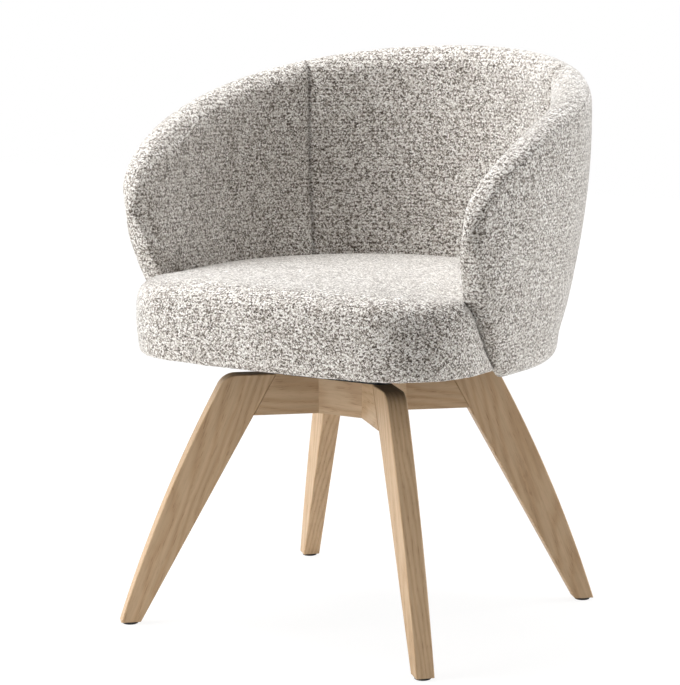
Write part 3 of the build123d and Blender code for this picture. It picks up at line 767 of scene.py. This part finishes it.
    @staticmethod
    def space_out(line: np.ndarray, count: int) -> np.ndarray:
        """Spaces points evenly along a line.

        Args:
            line: rows of distance out and height.
            count: the number of points.

        Returns:
            The evenly spaced rows.
        """
        length = np.concatenate([[0], np.cumsum(np.linalg.norm(np.diff(line, axis=0), axis=1))])
        places = np.linspace(0, length[-1], count)
        return np.stack([np.interp(places, length, line[:, 0]), np.interp(places, length, line[:, 1])], 1)


@dataclass
class SoftPiece:
    """A padded piece, blown up by a cloth simulation, then sewn and covered in loops."""

    node: str
    name: str
    form: TubForm
    axis: Vector
    grid: float = 9 * MM  # between points before the mesh is divided
    give: float = 0.4 * MM  # how far the cover may sink
    pressure: float = 4.0  # of the padding against the cover
    cap: float = 5 * MM  # how far the cover may swell
    frames: int = 20
    hold_steps: int = 4  # grades of how firmly a point is held
    quality: int = 4
    fill: float = 0.9  # how full the piece is, of 1
    divide: int = 2  # levels of subdivision
    loop_size: float = 4.2 * MM
    loop_height: float = 0.6 * MM

    def shape(self, source: bpy.types.Object) -> bmesh.types.BMesh:
        """Returns the piece's first mesh."""
        raise NotImplementedError

    def held(self, points: np.ndarray) -> np.ndarray:
        """Returns how firmly each point is held, from 0 to 1."""
        return np.zeros(len(points))

    def sew(self, points: np.ndarray) -> np.ndarray:
        """Returns how deep the seams pull each point in."""
        return np.zeros(len(points))

    def painted_seam_shade(self, points: np.ndarray) -> np.ndarray:
        """Returns how strongly the painted shade along a seam shows at each point, from 0 to 1."""
        return np.zeros(len(points))

    def thicken(self, obj: bpy.types.Object) -> None:
        """Closes a sheet into a pad; a closed piece needs nothing."""

    def read(self, mesh: bpy.types.Mesh) -> np.ndarray:
        """Reads a mesh's points.

        Args:
            mesh: the mesh.

        Returns:
            Rows of x, y and z about the swivel's axis.
        """
        flat = np.empty(len(mesh.vertices) * 3, np.float32)
        mesh.vertices.foreach_get("co", flat)
        return flat.reshape(-1, 3).astype(float) - np.array(self.axis)

    def write(self, mesh: bpy.types.Mesh, points: np.ndarray) -> None:
        """Puts points about the swivel's axis back into a mesh."""
        mesh.vertices.foreach_set("co", (points + np.array(self.axis)).astype(np.float32).ravel())
        mesh.update()

    def normals(self, mesh: bpy.types.Mesh) -> np.ndarray:
        """Reads a mesh's normals.

        Args:
            mesh: the mesh.

        Returns:
            The direction out of the mesh at each point.
        """
        flat = np.empty(len(mesh.vertices) * 3, np.float32)
        mesh.vertex_normals.foreach_get("vector", flat)
        return flat.reshape(-1, 3).astype(float)

    def settle(self, obj: bpy.types.Object) -> None:
        """Turns an object's modifiers into its mesh.

        Args:
            obj: the object, which is left without modifiers.
        """
        graph = bpy.context.evaluated_depsgraph_get()
        made = bpy.data.meshes.new_from_object(obj.evaluated_get(graph))
        obj.modifiers.clear()
        obj.data = made
        made.name = self.name

    def pad_out(self, obj: bpy.types.Object, edge: np.ndarray) -> None:
        """Swells the cover between its held places by a cloth simulation, and caps how far it moves.

        The foam under the cover gives way only a little, so a point moves out to the cap and hardly in.

        Args:
            obj: the piece.
            edge: how firmly each point is held as part of an open edge.
        """
        scene = bpy.context.scene
        start = self.read(obj.data)
        hold = np.maximum(self.held(start), edge)
        out = self.normals(obj.data)
        group = obj.vertex_groups.new(name="held")
        steps = np.round(hold * self.hold_steps).astype(int)
        for step in range(1, self.hold_steps + 1):
            group.add(np.nonzero(steps == step)[0].tolist(), step / self.hold_steps, "REPLACE")
        cloth = obj.modifiers.new("padding", "CLOTH")
        cloth.settings.quality = self.quality
        cloth.settings.use_pressure = True
        cloth.settings.uniform_pressure_force = self.pressure
        cloth.settings.vertex_group_mass = group.name
        cloth.settings.effector_weights.gravity = 0.0
        cloth.collision_settings.use_collision = False
        cloth.point_cache.frame_start = 1
        cloth.point_cache.frame_end = self.frames
        for number in range(1, self.frames + 1):
            scene.frame_set(number)
        graph = bpy.context.evaluated_depsgraph_get()
        swollen = self.read(obj.evaluated_get(graph).data)
        obj.modifiers.remove(cloth)
        obj.vertex_groups.remove(group)
        scene.frame_set(1)
        rise = ((swollen - start) * out).sum(1)
        limit = np.where(rise < 0, self.give, self.cap)
        self.write(obj.data, start + out * (limit * np.tanh(rise / limit))[:, None])

    def cover(self, obj: bpy.types.Object) -> None:
        """Divides the mesh, sews its seams and raises the yarn's loops.

        Args:
            obj: the piece, already swollen.
        """
        self.thicken(obj)
        smooth = obj.modifiers.new("round", "SUBSURF")
        smooth.levels = smooth.render_levels = self.divide
        self.settle(obj)
        points = self.read(obj.data)
        # This layer marks where the cloth gets painted shade along its upright seams.
        layer = obj.data.attributes.new(SEAM_SHADE_LAYER, "FLOAT", "POINT")
        layer.data.foreach_set("value", self.painted_seam_shade(points).astype(np.float32))
        sunk = points - self.normals(obj.data) * self.sew(points)[:, None]
        self.write(obj.data, sunk)
        lift = np.array([noise.voronoi(Vector(p) / self.loop_size)[0][0] for p in sunk])
        self.write(obj.data, sunk - self.normals(obj.data) * ((lift - 0.5) * self.loop_height)[:, None])
        obj.data.shade_smooth()

    def build(self, source: bpy.types.Object, cloth: bpy.types.Material) -> bpy.types.Object:
        """Makes the piece.

        Args:
            source: the CAD node's object.
            cloth: the cover's material.

        Returns:
            The piece, riding on the tub.
        """
        shape = self.shape(source)
        shape.verts.ensure_lookup_table()
        edge = np.array([1.0 if vert.is_boundary else 0.0 for vert in shape.verts])
        mesh = bpy.data.meshes.new(self.name)
        shape.to_mesh(mesh)
        shape.free()
        obj = bpy.data.objects.new(self.name, mesh)
        bpy.context.scene.collection.objects.link(obj)
        self.pad_out(obj, edge)
        self.cover(obj)
        paint(obj, cloth)
        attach(obj, TUB)
        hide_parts(self.node)
        return obj


@dataclass
class TubCover(SoftPiece):
    """A cover of the tub, drawn through upright cuts from nose to nose of the arms and padded inwards."""

    pad: float = 8 * MM  # thickness of the padding
    slim: float = 0.3  # most of the wall's thickness that the padding takes
    edge_share: float = 0.2  # of the padding that is left along the open edges
    levels: int = 10  # grades of thickness

    @staticmethod
    def open_edge(mesh: bpy.types.Mesh) -> list[int]:
        """Finds a sheet's open edges.

        Args:
            mesh: the sheet.

        Returns:
            The numbers of the points along them.
        """
        sheet = bmesh.new()
        sheet.from_mesh(mesh)
        found = [vert.index for vert in sheet.verts if vert.is_boundary]
        sheet.free()
        return found

    def line(self, bearing: float, run: float) -> np.ndarray:
        """Returns the cover's line in one cut."""
        raise NotImplementedError

    def shape(self, source: bpy.types.Object) -> bmesh.types.BMesh:
        """Stretches a grid over the cuts.

        Args:
            source: the CAD node's object, which the cover follows by the same sizes.

        Returns:
            The cover's sheet, its faces outwards.
        """
        cuts = self.form.stations(self.grid)
        lines = [self.line(bearing, run) for bearing, run in cuts]
        longest = max(np.linalg.norm(np.diff(line, axis=0), axis=1).sum() for line in lines)
        count = round(longest / self.grid) + 1
        rows = [
            self.form.stand(bearing, run, self.form.space_out(line, count))
            for (bearing, run), line in zip(cuts, lines)
        ]
        sheet = bmesh.new()
        bmesh.ops.create_grid(sheet, x_segments=len(cuts) - 1, y_segments=count - 1, size=0.5)
        # The grid spans one unit about the origin, so a point's place there gives its cut and its row.
        for vert in sheet.verts:
            along = round((vert.co.x + 0.5) * (len(cuts) - 1))
            across = round((vert.co.y + 0.5) * (count - 1))
            vert.co = Vector(rows[along][across]) + self.axis
        bmesh.ops.remove_doubles(sheet, verts=sheet.verts, dist=MERGE)
        bmesh.ops.reverse_faces(sheet, faces=sheet.faces)
        sheet.normal_update()
        return sheet

    def thicken(self, obj: bpy.types.Object) -> None:
        """Pads the sheet inwards, thinner where the arm is thin and along the seams.

        Args:
            obj: the sheet, which gets the padding as a modifier.
        """
        bearing, run, _ = self.form.place(self.read(obj.data))
        room = np.clip(self.slim * self.form.thick(bearing, run) / self.pad, self.edge_share, 1)
        group = obj.vertex_groups.new(name="pad")
        for level in range(1, self.levels + 1):
            near = np.nonzero(np.ceil(room * self.levels) == level)[0]
            group.add(near.tolist(), level / self.levels, "REPLACE")
        group.add(self.open_edge(obj.data), self.edge_share, "REPLACE")
        solid = obj.modifiers.new("pad", "SOLIDIFY")
        solid.vertex_group = group.name
        solid.thickness_vertex_group = 0.0
        solid.thickness = self.pad
        solid.offset = -1.0
        solid.use_even_offset = False


@dataclass
class InnerBack(TubCover):
    """The padded inside of the tub, which rolls over the rim to a seam outside."""

    seam_bearing: float = 40.36  # upright seams, in degrees from the tub's cross line
    seam_depth: float = 4.2 * MM
    seam_width: float = 4.0 * MM  # of the pinch
    seam_shade_width: float = 2.6 * MM  # of the painted shade in it
    inside: float = 30 * MM  # depth under the outer face past which the seams are sewn
    seat_line: float = 465 * MM  # height up to which the seat covers the pad

    def line(self, bearing: float, run: float) -> np.ndarray:
        """Returns the cover's line in one cut."""
        return self.form.sheet_lines(bearing, run)[0]

    def seam_distance(self, points: np.ndarray) -> np.ndarray:
        """Measures along the shell to the upright seams.

        Args:
            points: rows of x, y and z.

        Returns:
            Each point's distance from the nearer seam.
        """
        bearing, _, depth = self.form.place(points)
        radius = self.form.outer(points[:, 2]) - depth
        turn = math.radians(self.seam_bearing)
        off = np.minimum(np.abs(bearing - turn), np.abs(bearing - (math.pi - turn)))
        return off * radius

    def held(self, points: np.ndarray) -> np.ndarray:
        """Holds the upright seams and what the seat covers.

        Args:
            points: rows of x, y and z.

        Returns:
            How firmly each point is held, from 0 to 1.
        """
        under = points[:, 2] < self.seat_line
        seam = np.clip(1 - self.seam_distance(points) / (2 * self.grid), 0, 1)
        return np.where(under, 1.0, seam)

    def sew(self, points: np.ndarray) -> np.ndarray:
        """Sinks the two upright seams.

        Args:
            points: rows of x, y and z.

        Returns:
            How deep each point is pulled in.
        """
        _, _, depth = self.form.place(points)
        pull = np.exp(-((self.seam_distance(points) / self.seam_width) ** 2))
        return np.where(depth > self.inside, self.seam_depth * pull, 0.0)

    def painted_seam_shade(self, points: np.ndarray) -> np.ndarray:
        """Paints shade along the two upright seams.

        Args:
            points: rows of x, y and z.

        Returns:
            How strongly the painted seam shade shows at each point, from 0 to 1.
        """
        _, _, depth = self.form.place(points)
        line = np.exp(-((self.seam_distance(points) / self.seam_shade_width) ** 2))
        return np.where(depth > self.inside, line, 0.0)


@dataclass
class OuterBack(TubCover):
    """The padded outside of the tub, from the rim's seam to under the seat."""

    def line(self, bearing: float, run: float) -> np.ndarray:
        """Returns the cover's line in one cut."""
        return self.form.sheet_lines(bearing, run)[1]


@dataclass
class Seat(SoftPiece):
    """The seat cushion, crowned on top and tucked under the board's edge."""

    grid: float = 7 * MM
    relax: int = 2  # rounds of smoothing
    tuck: float = 391 * MM  # height below which the cover is stapled to the board
    gap: float = 5 * MM  # to the tub's wall, within which the cushion is held

    def shape(self, source: bpy.types.Object) -> bmesh.types.BMesh:
        """Copies the CAD solid into an even mesh.

        Args:
            source: the CAD node's object.

        Returns:
            The cushion's closed mesh.
        """
        solid = bmesh.new()
        solid.from_mesh(source.data)
        bmesh.ops.remove_doubles(solid, verts=solid.verts, dist=MERGE)
        mesh = bpy.data.meshes.new(self.name)
        solid.to_mesh(mesh)
        solid.free()
        obj = bpy.data.objects.new(self.name, mesh)
        bpy.context.scene.collection.objects.link(obj)
        remesh = obj.modifiers.new("even", "REMESH")
        remesh.mode = "VOXEL"
        remesh.voxel_size = self.grid
        self.settle(obj)
        even = bmesh.new()
        even.from_mesh(obj.data)
        bpy.data.objects.remove(obj)
        for _ in range(self.relax):
            bmesh.ops.smooth_vert(
                even, verts=even.verts, factor=0.5, use_axis_x=True, use_axis_y=True, use_axis_z=True
            )
        return even

    def held(self, points: np.ndarray) -> np.ndarray:
        """Holds the underside and what stands against the tub.

        Args:
            points: rows of x, y and z.

        Returns:
            How firmly each point is held: 0 or 1.
        """
        bearing, run, depth = self.form.place(points)
        wall = self.form.thick(bearing, run)
        against = (run > 0) & (depth < wall + self.gap)
        return np.where((points[:, 2] < self.tuck) | against, 1.0, 0.0)


@dataclass
class Upholstery:
    """The three padded pieces of the tub."""

    axis: Vector
    form: TubForm = field(default_factory=TubForm)

    def pieces(self) -> list[SoftPiece]:
        """Returns the padded pieces, each with its own sizes."""
        form, axis = self.form, self.axis
        return [
            InnerBack("inner_back_pad", "inner_back_upholstery", form, axis),
            OuterBack("outer_back_pad", "outer_back_upholstery", form, axis, pressure=14.0, cap=3 * MM),
            Seat("seat_cushion", "seat_upholstery", form, axis, cap=6 * MM, fill=0.85),
        ]

    def build(self, nodes: dict[str, bpy.types.Object]) -> list[bpy.types.Object]:
        """Builds and dresses the padded pieces.

        Args:
            nodes: the CAD nodes by name.

        Returns:
            The new objects.
        """
        upright = BoucleFinish("boucle_looped_yarn_tub", (0.0, 0.0, 1.0)).make()
        level = BoucleFinish("boucle_looped_yarn_seat", (0.0, 1.0, 1.0)).make()
        made = []
        for piece in self.pieces():
            made.append(piece.build(nodes[piece.node], level if isinstance(piece, Seat) else upright))
        return made


@dataclass
class DustCover:
    """The black cloth stapled under the seat board, which hangs slack by about a millimetre."""

    node: str = "dust_cover"
    name: str = "dust_cover_cloth"
    grid: float = 14 * MM  # between the lines that divide the cloth
    lift: float = 1.0 * MM  # from the solid's underside up to the board
    slack: float = 0.9 * MM  # the most it hangs down
    slack_run: float = 35 * MM  # from the edge, over which most of that comes
    ripple: float = 48 * MM  # length of the ripples
    ripple_share: float = 0.25
    facing_down: float = -0.9  # the upright part of a normal that counts as the underside
    thick: float = 0.5 * MM

    def lower_face(self, source: bpy.types.Object) -> bmesh.types.BMesh:
        """Copies the underside of the CAD solid and divides it evenly.

        Args:
            source: the CAD node's object.

        Returns:
            The open sheet.
        """
        sheet = bmesh.new()
        sheet.from_mesh(source.data)
        bmesh.ops.remove_doubles(sheet, verts=sheet.verts, dist=MERGE)
        sheet.normal_update()
        others = [face for face in sheet.faces if face.normal.z > self.facing_down]
        bmesh.ops.delete(sheet, geom=others, context="FACES")
        low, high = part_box(self.node)
        for side in range(2):
            across = Vector((1.0 - side, float(side), 0.0))
            for step in range(1, int((high[side] - low[side]) / self.grid) + 1):
                bmesh.ops.bisect_plane(
                    sheet,
                    geom=sheet.verts[:] + sheet.edges[:] + sheet.faces[:],
                    dist=MERGE / 10,
                    plane_co=across * (low[side] + step * self.grid),
                    plane_no=across,
                )
        return sheet

    def hang(self, sheet: bmesh.types.BMesh) -> None:
        """Lets the cloth hang slack away from its edges, in shallow ripples.

        Args:
            sheet: the open sheet, whose points are moved.
        """
        edge = [vert for vert in sheet.verts if vert.is_boundary]
        near = kdtree.KDTree(len(edge))
        for order, vert in enumerate(edge):
            near.insert(vert.co, order)
        near.balance()
        drops = []
        for vert in sheet.verts:
            away = near.find(vert.co)[2]
            wave = 1 - self.ripple_share * (1 - noise.noise(vert.co / self.ripple))
            drops.append(self.slack * wave * (1 - math.exp(-away / self.slack_run)))
        for vert, drop in zip(sheet.verts, drops):
            vert.co.z += self.lift - drop

    def build(self, source: bpy.types.Object) -> bpy.types.Object:
        """Args:
            source: the CAD node's object.

        Returns:
            The new object.
        """
        sheet = self.lower_face(source)
        self.hang(sheet)
        area = sum(face.calc_area() for face in sheet.faces)
        mesh = bpy.data.meshes.new(self.name)
        sheet.to_mesh(mesh)
        sheet.free()
        cloth = bpy.data.objects.new(self.name, mesh)
        bpy.context.scene.collection.objects.link(cloth)
        wall = cloth.modifiers.new("wall", "SOLIDIFY")
        wall.thickness = self.thick
        wall.offset = -1.0
        # Spun-bonded cloth: flat black without gloss, its fibres drawn coarse enough to show.
        spun = PlainFinish("black_spun_cloth", "#1A1A1B", "#0E0E0F", Gloss.CLOTH, 1.2 * MM, 0.3 * MM)
        paint(cloth, spun.make())
        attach(cloth, TUB)
        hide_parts(self.node)
        return cloth


@dataclass
class WoodBase:
    """The oak legs, cross beams and corner blocks, whose grain follows each piece."""

    axis: Vector
    leg_bearing: float = 43.5  # from the cross line, in degrees
    leg_lean: float = 22.0  # from the upright, in degrees
    leg_centre: tuple[float, float] = (262 * MM, 178 * MM)  # a leg's middle, out from the axis and up
    leg_heart: tuple[float, float] = (4 * MM, 58 * MM)
    heart_step: tuple[float, float] = (5 * MM, 6 * MM)  # from one leg to the next, so that no two are alike
    beam_height: float = 320 * MM
    lying: float = 90.0  # the lean of grain that lies level, in degrees
    lower_heart: tuple[float, float] = (30 * MM, 55 * MM)
    upper_heart: tuple[float, float] = (-28 * MM, 62 * MM)
    block_heart: tuple[float, float] = (20 * MM, 70 * MM)
    dowel_grain: tuple[float, float, float] = (1.0, 1.0, 0.1)

    def leg_bearings(self) -> dict[str, float]:
        """Returns each leg's bearing about the swivel's axis, in degrees."""
        turn = self.leg_bearing
        return {"front_right": -turn, "rear_right": turn, "rear_left": 180 - turn, "front_left": turn - 180}

    def dress(self, nodes: dict[str, bpy.types.Object]) -> None:
        """Gives each oak piece its own wood, and the dowels and glides their finishes.

        Args:
            nodes: the CAD nodes by name.
        """
        self.dress_legs(nodes)
        self.dress_crossing(nodes)
        # Beech dowel rod: pale, with a fine straight grain.
        beech = PlainFinish(
            "beech_dowel", "#D9B48A", "#C79D70", Gloss.RAW, 2 * MM, 0.1 * MM, stretch=self.dowel_grain
        )
        paint(nodes["leg_dowels"], beech.make())
        # Moulded plastic: matt black with a fine texture.
        glide = PlainFinish("moulded_black_glide", "#1B1B1C", "#121213", Gloss.MOULDED, 0.6 * MM, 0.1 * MM)
        moulded = glide.make()
        for name in self.leg_bearings():
            paint(nodes[f"{name}_glide"], moulded)

    def dress_legs(self, nodes: dict[str, bpy.types.Object]) -> None:
        """Gives each leg wood from its own part of the tree.

        Args:
            nodes: the CAD nodes by name.
        """
        out, up = self.leg_centre
        for order, (name, bearing) in enumerate(self.leg_bearings().items()):
            turn = math.radians(bearing)
            centre = (self.axis.x + out * math.cos(turn), self.axis.y + out * math.sin(turn), up)
            side = 1 if order % 2 else -1
            near, far = (first + order * step for first, step in zip(self.leg_heart, self.heart_step))
            wood = OakFinish(f"oiled_oak_{name}_leg", bearing, self.leg_lean, centre, (near, side * far))
            paint(nodes[f"{name}_leg"], wood.make())

    def dress_crossing(self, nodes: dict[str, bpy.types.Object]) -> None:
        """Gives the beams and corner blocks wood that lies along each.

        Args:
            nodes: the CAD nodes by name.
        """
        middle = (self.axis.x, self.axis.y, self.beam_height)
        turns = {
            "lower_cross_beam": (self.leg_bearing, self.lower_heart),
            "upper_cross_beam": (-self.leg_bearing, self.upper_heart),
            "front_corner_block": (0.0, self.block_heart),
            "rear_corner_block": (0.0, self.block_heart),
            "right_corner_block": (90.0, self.block_heart),
            "left_corner_block": (90.0, self.block_heart),
        }
        for name, (bearing, heart) in turns.items():
            paint(nodes[name], OakFinish(f"oiled_oak_{name}", bearing, self.lying, middle, heart).make())


@dataclass
class SwivelHardware:
    """The plates, bearing, fasteners and boards under the cushion."""

    def finishes(self) -> dict[str, list[str]]:
        """Sorts the CAD nodes by finish.

        Returns:
            The nodes that each finish covers.
        """
        return {
            "powder": ["swivel_lower_plate", "swivel_upper_plate"],
            "zinc": [
                "lower_swivel_screws", "upper_swivel_screws", "frame_screws", "ball_cage", "stop_pin",
                "t_nuts", "pivot_stud", "lock_nut",
            ],
            "ball": ["bearing_balls"],
            "nylon": ["pivot_washer"],
            "ply": ["seat_board", "back_frame"],
        }

    def materials(self) -> dict[str, bpy.types.Material]:
        """Builds the finishes.

        Returns:
            Each finish's material.
        """
        # Baked powder coat on steel: an even dull black, its orange peel drawn coarse enough to show.
        powder = PlainFinish("black_powder_coat", "#1C1D1F", "#141517", Gloss.POWDER, 0.8 * MM, 0.15 * MM)
        # Zinc plate on steel: pale grey with a soft broken gloss.
        zinc = PlainFinish("zinc_plated_steel", "#C9CAC6", "#AEB0AC", Gloss.SATIN, 4 * MM, 0.05 * MM, 1.0)
        # Ground and polished steel: sharp reflections.
        ball = PlainFinish(
            "polished_ball_steel", "#D8D9DA", "#CFD0D2", Gloss.POLISHED, 6 * MM, 0.01 * MM, 1.0
        )
        # Natural nylon: milky and a little waxy.
        nylon = PlainFinish("natural_nylon", "#E4E1D6", "#D8D4C6", Gloss.MOULDED, 2 * MM, 0.05 * MM)
        return {
            "powder": powder.make(),
            "zinc": zinc.make(),
            "ball": ball.make(),
            "nylon": nylon.make(),
            "ply": PlyFinish().make(),
        }

    def dress(self, nodes: dict[str, bpy.types.Object]) -> None:
        """Gives each hidden or metal node its finish.

        Args:
            nodes: the CAD nodes by name.
        """
        materials = self.materials()
        for finish, names in self.finishes().items():
            for name in names:
                paint(nodes[name], materials[finish])


@dataclass(frozen=True)
class Lamp:
    """A square soft lamp that faces the chair.

    Its place is in metres up, right and towards the camera from the chair's foot.
    """

    name: str
    up: float
    right: float
    near: float
    side: float
    watts: float


@dataclass
class Studio:
    """The camera, the lamps, the floor and the white surroundings."""

    axis: Vector
    azimuth: float = 32.4334  # of the camera, in degrees from straight ahead
    elevation: float = 8.8593  # in degrees
    distance: float = 3.144  # from the point that the camera aims at
    aim_height: float = 0.4
    focal_pixels: float = 2226.3  # focal length in pixels of the picture
    shift_pixels: tuple[float, float] = (-20.68, -6.69)
    sensor: float = 36.0
    ambient: float = 0.18  # strength of the even light all round
    floor_colour: str = "#F0EFED"
    floor_half: float = 6.0
    floor_near: float = 0.55  # from the chair, where the floor's shadow starts to fade
    floor_far: float = 1.6
    floor_shade: float = 0.82  # share of white in the floor by the chair
    floor_white: float = 1.08
    lamps: tuple[Lamp, ...] = (
        Lamp("top_lamp", 2.6, -0.4, -0.45, 2.0, 73.0),
        Lamp("left_lamp", 1.3, -2.6, 0.5, 1.8, 68.0),
        Lamp("right_lamp", 1.1, 2.6, -0.3, 1.8, 52.0),
    )

    def axes(self) -> tuple[Vector, Vector, Vector]:
        """Works out the camera's directions.

        Returns:
            Its right, up and back.
        """
        turn, tilt = math.radians(self.azimuth), math.radians(self.elevation)
        back = Vector((math.sin(turn) * math.cos(tilt), -math.cos(turn) * math.cos(tilt), math.sin(tilt)))
        right = Vector((math.cos(turn), math.sin(turn), 0.0))
        return right, back.cross(right), back

    def add_camera(self) -> None:
        """Puts the camera at the photograph's place."""
        right, up, back = self.axes()
        lens = bpy.data.cameras.new("camera")
        lens.sensor_width = self.sensor
        lens.lens = self.focal_pixels * self.sensor / PICTURE_HEIGHT
        lens.shift_x = self.shift_pixels[0] / PICTURE_HEIGHT
        lens.shift_y = self.shift_pixels[1] / PICTURE_HEIGHT
        camera = bpy.data.objects.new("camera", lens)
        aim = Vector((self.axis.x, self.axis.y, self.aim_height))
        turn = Matrix((right, up, back)).transposed().to_4x4()
        camera.matrix_world = Matrix.Translation(aim + back * self.distance) @ turn
        bpy.context.scene.collection.objects.link(camera)
        bpy.context.scene.camera = camera

    def add_lamps(self) -> None:
        """Adds the lamps, one above and one from each side of the picture, facing the chair."""
        right, _, back = self.axes()
        level = Vector((back.x, back.y, 0.0)).normalized()
        rise = Vector((0.0, 0.0, 1.0))
        for lamp in self.lamps:
            light = bpy.data.lights.new(lamp.name, "AREA")
            light.size = lamp.side
            light.energy = lamp.watts
            stand = bpy.data.objects.new(lamp.name, light)
            place = rise * lamp.up + right * lamp.right + level * lamp.near
            stand.location = place + self.axis
            aim = Vector((0.0, 0.0, self.aim_height)) - place
            stand.rotation_euler = aim.to_track_quat("-Z", "Y").to_euler()
            bpy.context.scene.collection.objects.link(stand)

    def add_floor(self) -> None:
        """Lays the pale floor, which shows near white and keeps the chair's shadow."""
        shape = bmesh.new()
        bmesh.ops.create_grid(shape, x_segments=1, y_segments=1, size=self.floor_half)
        mesh = bpy.data.meshes.new("floor")
        shape.to_mesh(mesh)
        shape.free()
        floor = bpy.data.objects.new("floor", mesh)
        bpy.context.scene.collection.objects.link(floor)
        material = bpy.data.materials.new("painted_floor")
        material.use_nodes = True
        tree = material.node_tree
        tree.nodes.clear()
        matt = add_node(tree, "ShaderNodeBsdfDiffuse", {"Color": linear(self.floor_colour)}, {})
        white = add_node(
            tree, "ShaderNodeEmission", {"Color": linear(WHITE), "Strength": self.floor_white}, {}
        )
        seen = add_node(tree, "ShaderNodeLightPath", {}, {})
        place = add_node(tree, "ShaderNodeTexCoord", {}, {}).outputs["Object"]
        away = add_node(tree, "ShaderNodeVectorMath", {"operation": "LENGTH"}, {0: place})
        fade = add_node(
            tree,
            "ShaderNodeMapRange",
            {
                "From Min": self.floor_near,
                "From Max": self.floor_far,
                "To Min": self.floor_shade,
                "To Max": 1.0,
            },
            {"Value": away.outputs["Value"]},
        )
        share = add_node(
            tree,
            "ShaderNodeMath",
            {"operation": "MULTIPLY"},
            {0: seen.outputs["Is Camera Ray"], 1: fade.outputs[0]},
        )
        mix = add_node(
            tree, "ShaderNodeMixShader", {}, {0: share.outputs[0], 1: matt.outputs[0], 2: white.outputs[0]}
        )
        add_node(tree, "ShaderNodeOutputMaterial", {}, {"Surface": mix.outputs[0]})
        paint(floor, material)

    def add_surroundings(self) -> None:
        """Makes the world white to the eye and in reflections, and a plain soft light elsewhere."""
        world = bpy.data.worlds.new("surroundings")
        bpy.context.scene.world = world
        world.use_nodes = True
        tree = world.node_tree
        tree.nodes.clear()
        seen = add_node(tree, "ShaderNodeLightPath", {}, {})
        eye = add_node(
            tree,
            "ShaderNodeMath",
            {"operation": "MAXIMUM"},
            {0: seen.outputs["Is Camera Ray"], 1: seen.outputs["Is Glossy Ray"]},
        )
        shown = add_node(
            tree,
            "ShaderNodeMath",
            {"operation": "MAXIMUM"},
            {0: eye.outputs[0], 1: seen.outputs["Is Transmission Ray"]},
        )
        soft = add_node(tree, "ShaderNodeBackground", {"Color": linear(WHITE), "Strength": self.ambient}, {})
        white = add_node(tree, "ShaderNodeBackground", {"Color": linear(WHITE), "Strength": 1.0}, {})
        mix = add_node(
            tree, "ShaderNodeMixShader", {}, {0: shown.outputs[0], 1: soft.outputs[0], 2: white.outputs[0]}
        )
        add_node(tree, "ShaderNodeOutputWorld", {}, {"Surface": mix.outputs[0]})

    def build(self) -> None:
        """Sets up the whole studio."""
        bpy.context.scene.view_settings.view_transform = "Standard"
        self.add_camera()
        self.add_lamps()
        self.add_floor()
        self.add_surroundings()


def main() -> None:
    """Builds the chair's looks in order and reports each piece."""
    logging.basicConfig(level=logging.INFO, format="%(message)s")
    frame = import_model()
    swivel = next(joint for joint in frame["joints"] if joint["name"] == "seat_swivel")
    axis = Vector((swivel["pos_m"][0], swivel["pos_m"][1], 0.0))
    nodes = frame["nodes"]
    Studio(axis).build()
    WoodBase(axis).dress(nodes)
    SwivelHardware().dress(nodes)
    cloth = DustCover().build(nodes["dust_cover"])
    for piece in [cloth, *Upholstery(axis).build(nodes)]:
        LOG.info("%s: %d faces", piece.name, len(piece.data.polygons))


if __name__ == "__main__":
    main()
